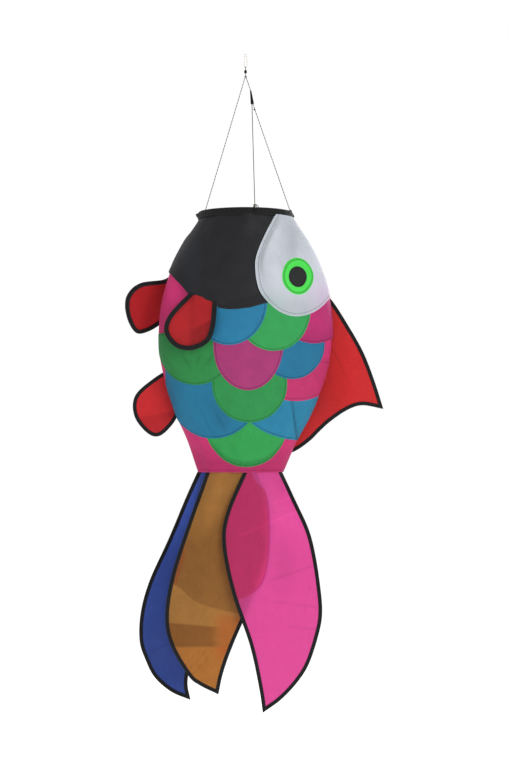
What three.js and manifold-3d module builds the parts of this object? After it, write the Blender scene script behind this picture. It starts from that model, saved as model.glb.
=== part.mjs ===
// A carp streamer: a fabric fish that hangs head up by a three-leg bridle and a small swivel.
// Millimetres, +Z up. The origin is the top of the hanging loop, +X points to the fish's back,
// -X to its belly, and the fish's left side faces -Y. Outlines are drawn in front view as
// [x, drop], where drop is the distance below the plane of the hoop.
import * as THREE from "three";
import { mergeVertices } from "three/addons/utils/BufferGeometryUtils.js";
import Module from "manifold-3d";

const wasm = await Module();
wasm.setup();

// ---- driving dimensions ----
const HANG_TO_HOOP = 265; // top of the hanging loop to the plane of the hoop
const HOOP_RADIUS = 74; // centre line of the wire in the mouth
const HOOP_WIRE = 3; // thickness of that wire
const HEM_WALL = 0.8; // black tape folded over the hoop
const HEM_RADIUS = 3.5; // outer radius of the fold
const HEM_DROP = 7.7; // lower edge of the hem
const BODY_TOP = 8; // the side panels start just under the hem
const BODY_BOTTOM = 419.5; // open tail end of the body
const CLOTH = 0.7; // thickness of every panel and patch
const GAP = 0.3; // clearance between pieces that touch
const HEAD_SEAM = 0.5; // the same clearance, measured straight down from the head's slanted edge
const SEAM_GAP = 0.25; // half the clearance along the belly and back seams
const PANEL_LAYER = 0; // offset of each layer of cloth from the inside of the fish
const PATCH_LAYER = PANEL_LAYER + CLOTH + GAP;
const IRIS_LAYER = PATCH_LAYER + CLOTH + GAP;
const PUPIL_LAYER = IRIS_LAYER + CLOTH + GAP;
const FIN_CLOTH = 0.8; // fins and tail petals
const BINDING_THICK = 1.8; // black tape round the fins and petals
const BINDING_WIDTH = 6;
const FIN_CLEARANCE = 4.2; // from the body to the edge of a fin, so that it can swing
const PETAL_DROP = 421; // top edge of the tail petals
const CORD = 1.2; // bridle cord
const LOOP_CORD = 0.9; // hanging loop
const REACH = 260; // how far the cutting prisms run to each side

// Half width and half depth of the body's oval section, and the sideways place of its middle.
const HALF_WIDTH = [[8, 75.5], [45, 99.5], [84, 119], [140, 136], [200, 141], [250, 135],
  [320, 112.5], [370, 89], [420, 69.5]];
const HALF_DEPTH = [[8, 75.5], [60, 86], [110, 93], [170, 95], [230, 90], [300, 73],
  [360, 54], [420, 38]];
const MIDDLE = [[8, 0.5], [140, 0], [260, -1.5], [340, -4], [420, -7.5]];

// ---- colours ----
const COLOUR = {
  black: 0x2b2b2d, white: 0xc5ccd4, iris: 0x63cf60, pink: 0xc23a6d, magenta: 0xa63f72,
  blue: 0x2c769a, green: 0x3a9a56, red: 0xb3282d, petalBlue: 0x32427e, petalOrange: 0x9a6432,
  petalPink: 0xdb4f95, cord: 0xb9b7b2, loop: 0xe6dfd0, steel: 0x1d1d1f,
};

function cloth(colour) {
  return new THREE.MeshStandardMaterial({ color: colour, roughness: 0.75, metalness: 0 });
}

function metal(colour) {
  return new THREE.MeshStandardMaterial({ color: colour, roughness: 0.35, metalness: 0.9 });
}

const fish = new THREE.Group();

function add(name, geometry, material) {
  const mesh = new THREE.Mesh(geometry, material);
  mesh.name = name;
  fish.add(mesh);
  return mesh;
}

// ---- solids ----
function height(drop) {
  return -HANG_TO_HOOP - drop;
}

// A closed geometry as a solid that can be joined and cut.
function solid(geometry) {
  const bare = geometry.index ? geometry : mergeVertices(geometry);
  for (const name of ["normal", "uv"]) bare.deleteAttribute(name);
  const merged = mergeVertices(bare, 1e-4);
  return new wasm.Manifold(new wasm.Mesh({
    numProp: 3,
    vertProperties: new Float32Array(merged.attributes.position.array),
    triVerts: new Uint32Array(merged.index.array),
  }));
}

function geometryOf(body) {
  const mesh = body.getMesh();
  const geometry = new THREE.BufferGeometry();
  geometry.setAttribute("position", new THREE.BufferAttribute(mesh.vertProperties.slice(), 3));
  geometry.setIndex([...mesh.triVerts]);
  geometry.computeVertexNormals();
  return geometry;
}

// A value read off a smooth curve through [place, value] points.
function smooth(points, place) {
  let i = 0;
  while (i < points.length - 2 && place > points[i + 1][0]) i += 1;
  const slope = (k) => {
    const before = points[Math.max(k - 1, 0)];
    const after = points[Math.min(k + 1, points.length - 1)];
    return (after[1] - before[1]) / (after[0] - before[0]);
  };
  const span = points[i + 1][0] - points[i][0];
  const t = (place - points[i][0]) / span;
  const rest = 1 - t;
  return points[i][1] * (1 + 2 * t) * rest * rest + points[i + 1][1] * (3 - 2 * t) * t * t
    + span * (slope(i) * t * rest * rest - slope(i + 1) * rest * t * t);
}

// The body's inner surface. turn runs from 0 at the belly seam to PI at the back seam.
function bodyPoint(turn, drop, side) {
  return new THREE.Vector3(
    smooth(MIDDLE, drop) - smooth(HALF_WIDTH, drop) * Math.cos(turn),
    side * smooth(HALF_DEPTH, drop) * Math.sin(turn),
    height(drop),
  );
}

function bodyNormal(turn, drop, side) {
  const step = 0.01;
  const across = bodyPoint(turn + step, drop, side).sub(bodyPoint(turn - step, drop, side));
  const down = bodyPoint(turn, drop + 1, side).sub(bodyPoint(turn, drop - 1, side));
  return down.cross(across).multiplyScalar(-side).normalize();
}

// Triangles of a grid of rows by columns, starting at vertex first.
function gridFaces(rows, columns, first, flip) {
  const faces = [];
  for (let r = 0; r < rows; r += 1) {
    for (let c = 0; c < columns; c += 1) {
      const a = first + r * (columns + 1) + c;
      const b = a + columns + 1;
      faces.push(...(flip ? [a, b, a + 1, a + 1, b, b + 1] : [a, a + 1, b, a + 1, b + 1, b]));
    }
  }
  return faces;
}

// A closed sheet between two offsets of the body's surface, on one side of the fish.
function bodySheet(side, from, to) {
  const rows = 12;
  const columns = 9;
  const points = [];
  for (const offset of [from, to]) {
    for (let r = 0; r <= rows; r += 1) {
      const drop = BODY_TOP + ((BODY_BOTTOM - BODY_TOP) * r) / rows;
      const edge = SEAM_GAP / smooth(HALF_DEPTH, drop);
      for (let c = 0; c <= columns; c += 1) {
        const turn = edge + ((Math.PI - 2 * edge) * c) / columns;
        const normal = bodyNormal(turn, drop, side).setZ(0).normalize();
        const point = bodyPoint(turn, drop, side).addScaledVector(normal, offset);
        if (c === 0 || c === columns) point.y = side * SEAM_GAP;
        points.push(...point.toArray());
      }
    }
  }
  return closedSheet(points, rows, columns, side < 0);
}

// Joins two grids of points, one behind the other, into a closed solid.
function closedSheet(points, rows, columns, flip) {
  const size = (rows + 1) * (columns + 1);
  const faces = [...gridFaces(rows, columns, 0, !flip), ...gridFaces(rows, columns, size, flip)];
  const rim = [];
  for (let c = 0; c < columns; c += 1) rim.push(c);
  for (let r = 0; r < rows; r += 1) rim.push(r * (columns + 1) + columns);
  for (let c = columns; c > 0; c -= 1) rim.push(rows * (columns + 1) + c);
  for (let r = rows; r > 0; r -= 1) rim.push(r * (columns + 1));
  rim.forEach((a, k) => {
    const b = rim[(k + 1) % rim.length];
    faces.push(...(flip ? [a, a + size, b, b, a + size, b + size]
      : [a, b, a + size, b, b + size, a + size]));
  });
  const geometry = new THREE.BufferGeometry();
  geometry.setAttribute("position", new THREE.Float32BufferAttribute(points, 3));
  geometry.setIndex(faces);
  return solid(geometry);
}

// The whole body filled and grown by a margin, which keeps the fins clear of it.
function bodyVolume(margin) {
  const drops = 14;
  const turns = 28;
  const points = [];
  for (let r = 0; r <= drops; r += 1) {
    const drop = BODY_TOP + ((BODY_BOTTOM + 30 - BODY_TOP) * r) / drops;
    for (let c = 0; c < turns; c += 1) {
      const turn = (2 * Math.PI * c) / turns;
      points.push(
        smooth(MIDDLE, drop) - (smooth(HALF_WIDTH, drop) + margin) * Math.cos(turn),
        (smooth(HALF_DEPTH, drop) + margin) * Math.sin(turn),
        height(drop),
      );
    }
  }
  const faces = [];
  for (let r = 0; r < drops; r += 1) {
    for (let c = 0; c < turns; c += 1) {
      const a = r * turns + c;
      const b = r * turns + ((c + 1) % turns);
      faces.push(a, b, a + turns, b, b + turns, a + turns);
    }
  }
  for (let c = 1; c < turns - 1; c += 1) {
    faces.push(0, c + 1, c);
    faces.push(drops * turns, drops * turns + c, drops * turns + c + 1);
  }
  const geometry = new THREE.BufferGeometry();
  geometry.setAttribute("position", new THREE.Float32BufferAttribute(points, 3));
  geometry.setIndex(faces);
  return solid(geometry);
}

// ---- outlines in front view ----
function curve(points, steps) {
  return new THREE.SplineCurve(points.map(([x, drop]) => new THREE.Vector2(x, drop)))
    .getPoints(steps).map((p) => [p.x, p.y]);
}

// A half oval below a straight-sided top, like one fish scale. A top under the oval's centre
// cuts the oval instead.
function scaleOutline({ x, drop, halfWidth, length, top }, grow = 0) {
  const first = Math.asin(Math.max((top - grow - drop) / (length + grow), 0));
  const points = first > 0 ? []
    : [[x + halfWidth + grow, top - grow], [x - halfWidth - grow, top - grow]];
  const steps = 14;
  for (let i = 0; i <= steps; i += 1) {
    const turn = first + ((Math.PI - 2 * first) * i) / steps;
    points.push([
      x - (halfWidth + grow) * Math.cos(turn),
      drop + (length + grow) * Math.sin(turn),
    ]);
  }
  return points;
}

function ovalOutline(x, drop, halfWidth, halfHeight) {
  const steps = 20;
  return Array.from({ length: steps }, (_, i) => {
    const turn = (2 * Math.PI * i) / steps;
    return [x + halfWidth * Math.cos(turn), drop + halfHeight * Math.sin(turn)];
  });
}

function area(points) {
  return points.reduce((sum, [x, y], i) => {
    const [nextX, nextY] = points[(i + 1) % points.length];
    return sum + (x * nextY - nextX * y) / 2;
  }, 0);
}

function distanceToEdge([x, y], [ax, ay], [bx, by]) {
  const along = ((x - ax) * (bx - ax) + (y - ay) * (by - ay)) / ((bx - ax) ** 2 + (by - ay) ** 2);
  const t = Math.min(Math.max(along, 0), 1);
  return Math.hypot(x - ax - t * (bx - ax), y - ay - t * (by - ay));
}

// The outline moved inwards by a distance, or outwards if it is negative.
function inset(points, distance) {
  const turned = Math.sign(area(points));
  const moved = points.map(([x, y], i) => {
    const [px, py] = points[(i + points.length - 1) % points.length];
    const [nx, ny] = points[(i + 1) % points.length];
    const before = [x - px, y - py];
    const after = [nx - x, ny - y];
    const lengths = [Math.hypot(...before), Math.hypot(...after)];
    const normals = [[-before[1] / lengths[0], before[0] / lengths[0]],
      [-after[1] / lengths[1], after[0] / lengths[1]]];
    const sum = [normals[0][0] + normals[1][0], normals[0][1] + normals[1][1]];
    const mitre = (2 * turned * distance) / Math.max(sum[0] ** 2 + sum[1] ** 2, 0.35);
    return [x + sum[0] * mitre, y + sum[1] * mitre];
  });
  return moved.filter((point) => points.every((edge, i) => (
    distanceToEdge(point, edge, points[(i + 1) % points.length]) > Math.abs(distance) * 0.97)));
}

// An outline drawn out along Y, from the middle plane to one side, or to both with side 0.
function prism(points, side = 0) {
  const shape = new THREE.Shape(points.map(([x, drop]) => new THREE.Vector2(x, height(drop))));
  const depth = side === 0 ? 2 * REACH : REACH;
  const geometry = new THREE.ExtrudeGeometry(shape, { depth, bevelEnabled: false, steps: 1 });
  geometry.rotateX(Math.PI / 2);
  geometry.translate(0, side < 0 ? 0 : REACH, 0);
  return solid(geometry);
}

// A slab of the given thickness whose middle plane passes through a point.
function slab(thickness, point, normal) {
  const geometry = new THREE.BoxGeometry(2 * REACH, 2 * REACH, thickness);
  const towards = new THREE.Quaternion().setFromUnitVectors(new THREE.Vector3(0, 0, 1), normal);
  geometry.applyQuaternion(towards);
  geometry.translate(point.x, point.y, point.z);
  return solid(geometry);
}

// ---- mouth: wire hoop and the black tape folded over it ----
function makeMouth() {
  const hoop = new THREE.TorusGeometry(HOOP_RADIUS, HOOP_WIRE / 2, 6, 36);
  hoop.translate(0, 0, height(0));
  add("hoop", hoop, metal(COLOUR.steel));

  const foldAt = 1; // height of the fold's centre over the hoop plane
  const arc = (radius, from, to) => Array.from({ length: 5 }, (_, i) => {
    const turn = from + ((to - from) * i) / 4;
    return new THREE.Vector2(HOOP_RADIUS + radius * Math.cos(turn), foldAt + radius * Math.sin(turn));
  });
  const outer = HEM_RADIUS;
  const inner = HEM_RADIUS - HEM_WALL;
  const profile = [
    new THREE.Vector2(HOOP_RADIUS + outer, -HEM_DROP),
    ...arc(outer, 0, Math.PI),
    new THREE.Vector2(HOOP_RADIUS - outer, -HEM_DROP - 1.5),
    new THREE.Vector2(HOOP_RADIUS - inner, -HEM_DROP - 1.5),
    ...arc(inner, Math.PI, 0),
    new THREE.Vector2(HOOP_RADIUS + inner, -HEM_DROP),
    new THREE.Vector2(HOOP_RADIUS + outer, -HEM_DROP),
  ];
  const hem = new THREE.LatheGeometry(profile, 36);
  hem.rotateX(Math.PI / 2);
  hem.translate(0, 0, height(0));
  add("mouth_hem", hem, cloth(COLOUR.black));
}

// ---- head, eyes and scales ----
// The head's lower edge, from beyond the belly to the eye patch.
const HEAD_EDGE = [[-160, 50], [-90, 133.6], [-46.8, 149.5], [-41.3, 157.9], [-26.7, 159.8],
  [-13, 159.8], [7.5, 157.3], [29.8, 150.8]];
// The eye patch: a teardrop that runs over the back seam.
const EYE_EDGE = curve([[61.5, -14], [49.1, 7.4], [33, 38], [20, 68], [16, 93.5], [24.2, 132.5],
  [52.4, 162.2], [86.3, 170.2], [121.5, 154.8], [147, 118], [160, 60]], 30);
const EYE_TURN_IN = 6.5; // how far the head and the pink panel reach under the eye patch
const IRIS = { x: 84, drop: 105.8, halfWidth: 25.3, halfHeight: 30 };
const PUPIL = { x: 83.8, drop: 106.9, halfWidth: 14.6, halfHeight: 16.9 };

// Scales from the top of the pile to the bottom: each one hides part of those after it.
const SCALES = [
  { name: "1a", colour: "blue", x: -25.7, drop: 149, halfWidth: 60.3, length: 67.5, top: 122 },
  { name: "1b", colour: "green", x: 44.7, drop: 160.6, halfWidth: 59.6, length: 65, top: 122 },
  { name: "1c", colour: "magenta", x: 108.4, drop: 142.6, halfWidth: 64, length: 70, top: 122 },
  { name: "2b", colour: "magenta", x: 4.4, drop: 216.3, halfWidth: 55.4, length: 71.7, top: 198 },
  { name: "2a", colour: "green", x: -78.5, drop: 215.6, halfWidth: 63.3, length: 63.4, top: 195 },
  { name: "2c", colour: "blue", x: 74.4, drop: 211, halfWidth: 54.1, length: 58.8, top: 193 },
  { name: "3b", colour: "green", x: 6.7, drop: 278.8, halfWidth: 60, length: 60.2, top: 252 },
  { name: "3c", colour: "pink", x: 80.8, drop: 226.6, halfWidth: 82.9, length: 78.2, top: 238 },
  { name: "3a", colour: "blue", x: -51.4, drop: 279.4, halfWidth: 78.6, length: 85.4, top: 252 },
  { name: "4b", colour: "blue", x: 90.9, drop: 271, halfWidth: 115.5, length: 97, top: 291 },
  { name: "4a", colour: "green", x: 1.8, drop: 343.1, halfWidth: 65.6, length: 67.6, top: 333 },
];

function makeSide(label, side) {
  const panelSheet = bodySheet(side, PANEL_LAYER, PANEL_LAYER + CLOTH);
  const patchSheet = bodySheet(side, PATCH_LAYER, PATCH_LAYER + CLOTH);
  const eyeHole = inset(EYE_EDGE, EYE_TURN_IN);
  const leftOfEye = eyeHole.filter(([x, drop]) => x < 52 && drop < 142);
  const belowEye = eyeHole.filter(([x, drop]) => x > 43 && drop > 90);
  const headOutline = [[-160, -20], ...HEAD_EDGE, ...leftOfEye.reverse(), [70, -20]];
  const underHead = HEAD_EDGE.map(([x, drop]) => [x, drop + HEAD_SEAM]);
  const cutOutline = [[-160, -20], ...underHead, ...belowEye, [180, -20]];
  add(`head_${label}`, geometryOf(panelSheet.intersect(prism(headOutline, side))),
    cloth(COLOUR.black));
  add(`body_${label}`, geometryOf(panelSheet.subtract(prism(cutOutline, side))),
    cloth(COLOUR.pink));

  const eyePatch = patchSheet.intersect(prism(EYE_EDGE, side));
  add(`eye_patch_${label}`, geometryOf(eyePatch), cloth(COLOUR.white));
  addEyeDisc(`iris_${label}`, side, IRIS_LAYER, IRIS, COLOUR.iris);
  addEyeDisc(`pupil_${label}`, side, PUPIL_LAYER, PUPIL, COLOUR.black);

  let taken = prism([[-160, -20], ...underHead, [60, 140], [60, -20]], side);
  taken = taken.add(prism(inset(EYE_EDGE, -GAP), side));
  for (const scale of SCALES) {
    const outline = scaleOutline(scale);
    const piece = patchSheet.intersect(prism(outline, side)).subtract(taken);
    add(`scale_${label}_${scale.name}`, geometryOf(piece), cloth(COLOUR[scale.colour]));
    taken = taken.add(prism(scaleOutline(scale, GAP), side));
  }
}

function addEyeDisc(name, side, layer, disc, colour) {
  const sheet = bodySheet(side, layer, layer + CLOTH);
  const outline = ovalOutline(disc.x, disc.drop, disc.halfWidth, disc.halfHeight);
  add(name, geometryOf(sheet.intersect(prism(outline, side))), cloth(colour));
}

// ---- fins and tail petals: a flat panel inside a frame of black tape ----
// keepOut is subtracted from both, and place turns a thickness into the slab they lie in.
function addBound(name, outline, colour, place, keepOut) {
  const cut = (body) => (keepOut ? body.subtract(keepOut) : body);
  const inner = prism(inset(outline, BINDING_WIDTH));
  const panel = place(FIN_CLOTH).intersect(prism(inset(outline, BINDING_WIDTH + GAP)));
  const tape = place(BINDING_THICK).intersect(prism(outline).subtract(inner));
  add(name, geometryOf(cut(panel)), cloth(colour));
  add(`${name}_binding`, geometryOf(cut(tape)), cloth(COLOUR.black));
}

const DORSAL_OUTLINE = [
  ...curve([[100, 95], [139, 137], [168, 181], [192, 224], [210.5, 272], [225, 317]], 12),
  ...curve([[225, 317], [191, 311], [167, 318], [140, 336], [122, 352], [106, 368], [82, 385],
    [50, 397]], 14)
    .slice(1),
];
const ANAL_OUTLINE = curve([[-70, 245], [-118, 250], [-155, 271], [-181, 297], [-181, 329],
  [-160, 356], [-140, 361], [-118, 341], [-95, 305], [-60, 300]], 30);
const NEAR_PECTORAL_OUTLINE = curve([[-63.6, 102], [-90.7, 134], [-122.7, 168], [-129.5, 194.5],
  [-113, 218], [-86.8, 224.6], [-59.7, 214], [-48, 189.5], [-44.2, 149], [-40.3, 122]], 30);
const FAR_PECTORAL_OUTLINE = curve([[-90, 78], [-129, 102], [-172, 113], [-193, 136],
  [-193, 167], [-180, 192], [-161, 189.5], [-138, 174], [-112, 150], [-80, 126]], 30);

function makeFins() {
  const keepOut = bodyVolume(FIN_CLEARANCE);
  const middlePlane = (thickness) => slab(thickness, new THREE.Vector3(0, 0, height(200)),
    new THREE.Vector3(0, 1, 0));
  addBound("dorsal_fin", DORSAL_OUTLINE, COLOUR.red, middlePlane, keepOut);
  addBound("anal_fin", ANAL_OUTLINE, COLOUR.red, middlePlane, keepOut);

  const aboveSeam = prism([[-160, 0], [-94.5, 131.5], [-90, 135.4], [-46.8, 151.2],
    [-20, 155], [0, 0]]);
  const near = pectoralPlane(PECTORAL_NEAR);
  addBound("pectoral_fin_left", NEAR_PECTORAL_OUTLINE, COLOUR.red, near,
    keepOut.add(aboveSeam));
  const far = pectoralPlane(PECTORAL_FAR);
  const beyondSeam = prism([[-135, 60], [-121, 97], [-97, 127], [-75, 165], [-40, 165], [-40, 60]]);
  addBound("pectoral_fin_right", FAR_PECTORAL_OUTLINE, COLOUR.red, far,
    keepOut.add(beyondSeam));
}

// Each pectoral fin hangs in a plane through its sewn edge, a little off the body.
const PECTORAL_NEAR = { turn: 1.0, drop: 142, side: -1, off: 7.5, flare: 0.02 };
const PECTORAL_FAR = { turn: 0.56, drop: 112, side: 1, off: 6, flare: 0.3 };

function pectoralPlane({ turn, drop, side, off, flare }) {
  const flat = bodyNormal(turn, drop, side).setZ(0).normalize();
  const point = bodyPoint(turn, drop, side).addScaledVector(flat, off);
  const normal = flat.clone().setZ(flare).normalize();
  return (thickness) => slab(thickness, point, normal);
}

// Tail petals: [left edge, right edge], both from the body down to the tip.
const PETALS = [
  { name: "tail_petal_pink", colour: COLOUR.petalPink, y: -39,
    left: [[2, 409], [-4, 421], [-30, 482], [-37, 532], [-21.5, 611], [7, 695], [22, 764],
      [28, 804]],
    right: [[54, 409], [60.5, 421], [82, 467], [102, 511], [112.5, 552], [119.5, 598], [123, 640],
      [118.5, 673], [103, 722], [84.5, 753], [58, 782], [28, 804]] },
  { name: "tail_petal_orange", colour: COLOUR.petalOrange, y: -33,
    left: [[-61, 409], [-64, 421], [-93, 503], [-119, 585], [-129, 651], [-120, 697], [-92, 746],
      [-73, 762], [-43.5, 777]],
    right: [[12, 409], [18, 421], [38, 474], [36, 548], [12, 622], [-19.6, 696], [-35.5, 741],
      [-43.5, 777]] },
  { name: "tail_petal_blue", colour: COLOUR.petalBlue, y: 33,
    left: [[-73, 409], [-79, 421], [-100, 467], [-128, 533], [-157.5, 598], [-172, 650],
      [-174, 697], [-164, 730], [-150, 757], [-123, 780], [-90.5, 795]],
    right: [[-43, 409], [-38, 421], [-25, 480], [-28, 560], [-55, 645], [-84, 715], [-95, 762],
      [-90.5, 795]] },
];

function makePetals() {
  const aboveEdge = prism([[-300, 380], [-300, PETAL_DROP], [300, PETAL_DROP], [300, 380]]);
  for (const { name, colour, y, left, right } of PETALS) {
    const outline = [...curve(left, 16), ...curve(right, 16).reverse().slice(1)];
    const place = (thickness) => slab(thickness, new THREE.Vector3(0, y, height(600)),
      new THREE.Vector3(0, 1, 0));
    addBound(name, outline, colour, place, aboveEdge);
  }
}

// ---- swivel, hanging loop and bridle ----
const SWIVEL_EYE = { radius: 1.8, wire: 0.5 };
const UPPER_EYE_AT = -25;
const LOWER_EYE_AT = -35.6;
const BARREL = { top: -27.8, bottom: -32.8, radius: 2.2, bore: 0.95, chamber: 1.5, wall: 0.8 };
const STEM = { radius: 0.6, head: 1.1, headThick: 0.7 };

function lathe(profile) {
  const geometry = new THREE.LatheGeometry(profile.map(([r, z]) => new THREE.Vector2(r, z)), 12);
  return geometry.rotateX(Math.PI / 2);
}

function makeSwivel() {
  const { top, bottom, radius, bore, chamber, wall } = BARREL;
  const waist = radius - 0.5;
  add("swivel_barrel", lathe([[bore, top], [waist, top], [radius, top - 1], [radius, bottom + 1],
    [waist, bottom], [bore, bottom], [bore, bottom + wall], [chamber, bottom + wall],
    [chamber, top - wall], [bore, top - wall], [bore, top]].reverse()), metal(COLOUR.steel));
  addSwivelEye("swivel_upper_eye", UPPER_EYE_AT, -1);
  addSwivelEye("swivel_lower_eye", LOWER_EYE_AT, 1);
}

// A wire ring with a headed stem that turns inside the barrel. way points to the barrel.
function addSwivelEye(name, centre, way) {
  const ring = new THREE.TorusGeometry(SWIVEL_EYE.radius, SWIVEL_EYE.wire, 6, 14);
  ring.rotateY(Math.PI / 2);
  ring.translate(0, 0, centre);
  const from = centre + way * SWIVEL_EYE.radius;
  const stop = way < 0 ? BARREL.top - BARREL.wall - GAP : BARREL.bottom + BARREL.wall + GAP;
  const end = stop + way * STEM.headThick;
  const profile = [[0, from], [STEM.radius, from], [STEM.radius, stop], [STEM.head, stop],
    [STEM.head, end], [0, end]];
  const stem = lathe(way < 0 ? profile.reverse() : profile);
  add(name, geometryOf(solid(ring).add(solid(stem))), metal(COLOUR.steel));
}

function vector(x, y, z) {
  return new THREE.Vector3(x, y, z);
}

function makeLoop() {
  const r = LOOP_CORD / 2;
  const path = new THREE.CatmullRomCurve3([
    vector(0, 0, -24.45), vector(1.6, 0, -23), vector(2.5, 0, -17), vector(2, 0, -9),
    vector(0.9, 0, -2.2), vector(-0.4, 0, -r), vector(-1.6, 0, -2.6), vector(-1.9, 0, -9),
    vector(-2.2, 0, -17), vector(-1.6, 0, -23),
  ], true);
  add("hanging_loop", new THREE.TubeGeometry(path, 32, r, 6, true), cloth(COLOUR.loop));
}

// Bridle legs: straight runs between these points.
const TIE_RADIUS = 2.2;
const TIES = { left: [-67.2, 31], front: [15.2, -72.4], right: [73, 12] };
const CONNECTOR = { top: [8.4, -5.2, -62], bottom: [11.2, -7.4, -84.8], narrow: 1.2, wide: 2.8 };

function addCord(name, from, to) {
  const sides = 8;
  const section = new THREE.Shape(Array.from({ length: sides }, (_, i) => {
    const turn = (2 * Math.PI * i) / sides;
    return new THREE.Vector2((CORD / 2) * Math.cos(turn), (CORD / 2) * Math.sin(turn));
  }));
  const path = new THREE.LineCurve3(from, to);
  const geometry = new THREE.ExtrudeGeometry(section, {
    steps: 4, bevelEnabled: false, extrudePath: path,
  });
  add(name, geometry, cloth(COLOUR.cord));
}

function towards(from, to, distance) {
  return from.clone().addScaledVector(to.clone().sub(from).normalize(), distance);
}

function makeBridle() {
  const tieHeight = height(0) + 1 + HEM_RADIUS + GAP + TIE_RADIUS;
  const ties = {};
  for (const [name, [x, y]] of Object.entries(TIES)) {
    ties[name] = vector(x, y, tieHeight);
    const knot = new THREE.SphereGeometry(TIE_RADIUS, 10, 6);
    knot.rotateX(Math.PI / 2);
    knot.translate(x, y, tieHeight);
    add(`bridle_tie_${name}`, knot, cloth(COLOUR.black));
  }
  const { narrow, wide } = CONNECTOR;
  const top = vector(...CONNECTOR.top);
  const bottom = vector(...CONNECTOR.bottom);
  const sleeve = new THREE.CylinderGeometry(narrow, wide, top.distanceTo(bottom), 12);
  const axis = top.clone().sub(bottom).normalize();
  sleeve.applyQuaternion(new THREE.Quaternion().setFromUnitVectors(vector(0, 1, 0), axis));
  const middle = top.clone().add(bottom).multiplyScalar(0.5);
  sleeve.translate(middle.x, middle.y, middle.z);
  add("bridle_connector", sleeve, cloth(COLOUR.black));

  const ease = CORD; // the cords stop this far from the pieces they are tied to
  const start = LOWER_EYE_AT - SWIVEL_EYE.radius - SWIVEL_EYE.wire - ease;
  const below = bottom.clone().addScaledVector(axis, -ease);
  addCord("bridle_left", vector(-1.3, 0, start), towards(ties.left, vector(0, 0, start),
    TIE_RADIUS + GAP));
  addCord("bridle_top", vector(1.3, -0.6, start), top.clone().addScaledVector(axis, ease / 2));
  addCord("bridle_front", below.clone().add(vector(-1.3, -0.7, 0)),
    towards(ties.front, below, TIE_RADIUS + GAP));
  addCord("bridle_right", below.clone().add(vector(1.3, 0.7, 0)),
    towards(ties.right, below, TIE_RADIUS + GAP));
}

makeLoop();
makeSwivel();
makeBridle();
makeMouth();
makeSide("left", -1);
makeSide("right", 1);
makeFins();
makePetals();

export default fish;
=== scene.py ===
"""Looks of the carp streamer: cloth panels, bindings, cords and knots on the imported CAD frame.

Lengths here are millimetres in the CAD's own frame until a mesh is made. Outlines are drawn in
front view as (x, drop), where drop is the distance below the plane of the hoop.
"""

import math

import bpy
import numpy as np
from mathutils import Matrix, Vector
from mathutils.geometry import delaunay_2d_cdt

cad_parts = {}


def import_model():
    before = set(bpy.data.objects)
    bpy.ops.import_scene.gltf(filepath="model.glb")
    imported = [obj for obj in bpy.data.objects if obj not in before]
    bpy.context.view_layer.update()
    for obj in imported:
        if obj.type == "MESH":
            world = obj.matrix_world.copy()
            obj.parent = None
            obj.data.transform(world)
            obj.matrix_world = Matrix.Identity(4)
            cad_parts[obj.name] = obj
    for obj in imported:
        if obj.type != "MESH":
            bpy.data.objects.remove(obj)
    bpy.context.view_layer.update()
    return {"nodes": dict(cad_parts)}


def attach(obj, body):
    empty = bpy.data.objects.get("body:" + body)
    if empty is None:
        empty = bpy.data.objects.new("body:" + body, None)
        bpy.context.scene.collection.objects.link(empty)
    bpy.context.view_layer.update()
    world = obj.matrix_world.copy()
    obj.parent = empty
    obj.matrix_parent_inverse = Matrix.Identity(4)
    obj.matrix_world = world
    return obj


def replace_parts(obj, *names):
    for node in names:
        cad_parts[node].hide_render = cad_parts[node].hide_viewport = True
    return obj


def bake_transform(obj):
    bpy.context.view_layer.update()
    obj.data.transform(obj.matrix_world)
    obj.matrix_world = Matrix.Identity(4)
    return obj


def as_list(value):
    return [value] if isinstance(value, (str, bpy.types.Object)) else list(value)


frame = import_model()

MM = 0.001
HANG_TO_HOOP = 265
HOOP_RADIUS = 74
BODY_TOP = 5.5
BODY_BOTTOM = 419.5
AROUND = 110  # millimetres of cloth for each radian of turn, on the flat pattern
HALF_WIDTH = [(0, 74.6), (8, 75.5), (45, 99.5), (84, 119), (140, 136), (200, 141), (250, 135),
              (320, 112.5), (370, 89), (420, 69.5)]
HALF_DEPTH = [(0, 74.6), (8, 75.5), (60, 86), (110, 93), (170, 95), (230, 90), (300, 73), (360, 54),
              (420, 38)]
MIDDLE = [(0, 0.5), (8, 0.5), (140, 0), (260, -1.5), (340, -4), (420, -7.5)]


# ---- curves and surfaces ----
def smooth(points, place):
    """A value read off a smooth curve through (place, value) points."""
    x, y = np.array(points, float).T
    slope = np.gradient(y, x)
    slope[1:-1] = (y[2:] - y[:-2]) / (x[2:] - x[:-2])
    place = np.clip(np.asarray(place, float), x[0], x[-1])
    i = np.clip(np.searchsorted(x, place, side="right") - 1, 0, len(x) - 2)
    span = x[i + 1] - x[i]
    t = (place - x[i]) / span
    rest = 1 - t
    return (y[i] * (1 + 2 * t) * rest**2 + y[i + 1] * (3 - 2 * t) * t**2
            + span * (slope[i] * t * rest**2 - slope[i + 1] * rest * t**2))


def step(value, low, high):
    """0 below low, 1 above high, and smooth in between."""
    t = np.clip((np.asarray(value, float) - low) / (high - low), 0, 1)
    return t * t * (3 - 2 * t)


def blob(x, drop, at_x, at_drop, reach_x, reach_drop):
    return np.exp(-((x - at_x) / reach_x) ** 2 - ((drop - at_drop) / reach_drop) ** 2)


def ridge(distance, width):
    """1 on a line, and dying away within about width on both sides of it."""
    return np.exp(-((distance / width) ** 2))


def crest(distance, reach):
    """A fold with a sharp top."""
    return np.exp(-np.abs(distance / reach))


def fade(distance, reach):
    """1 up to an edge, and dying away past it."""
    return np.exp(-np.clip(distance, 0, 99) / reach)


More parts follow.
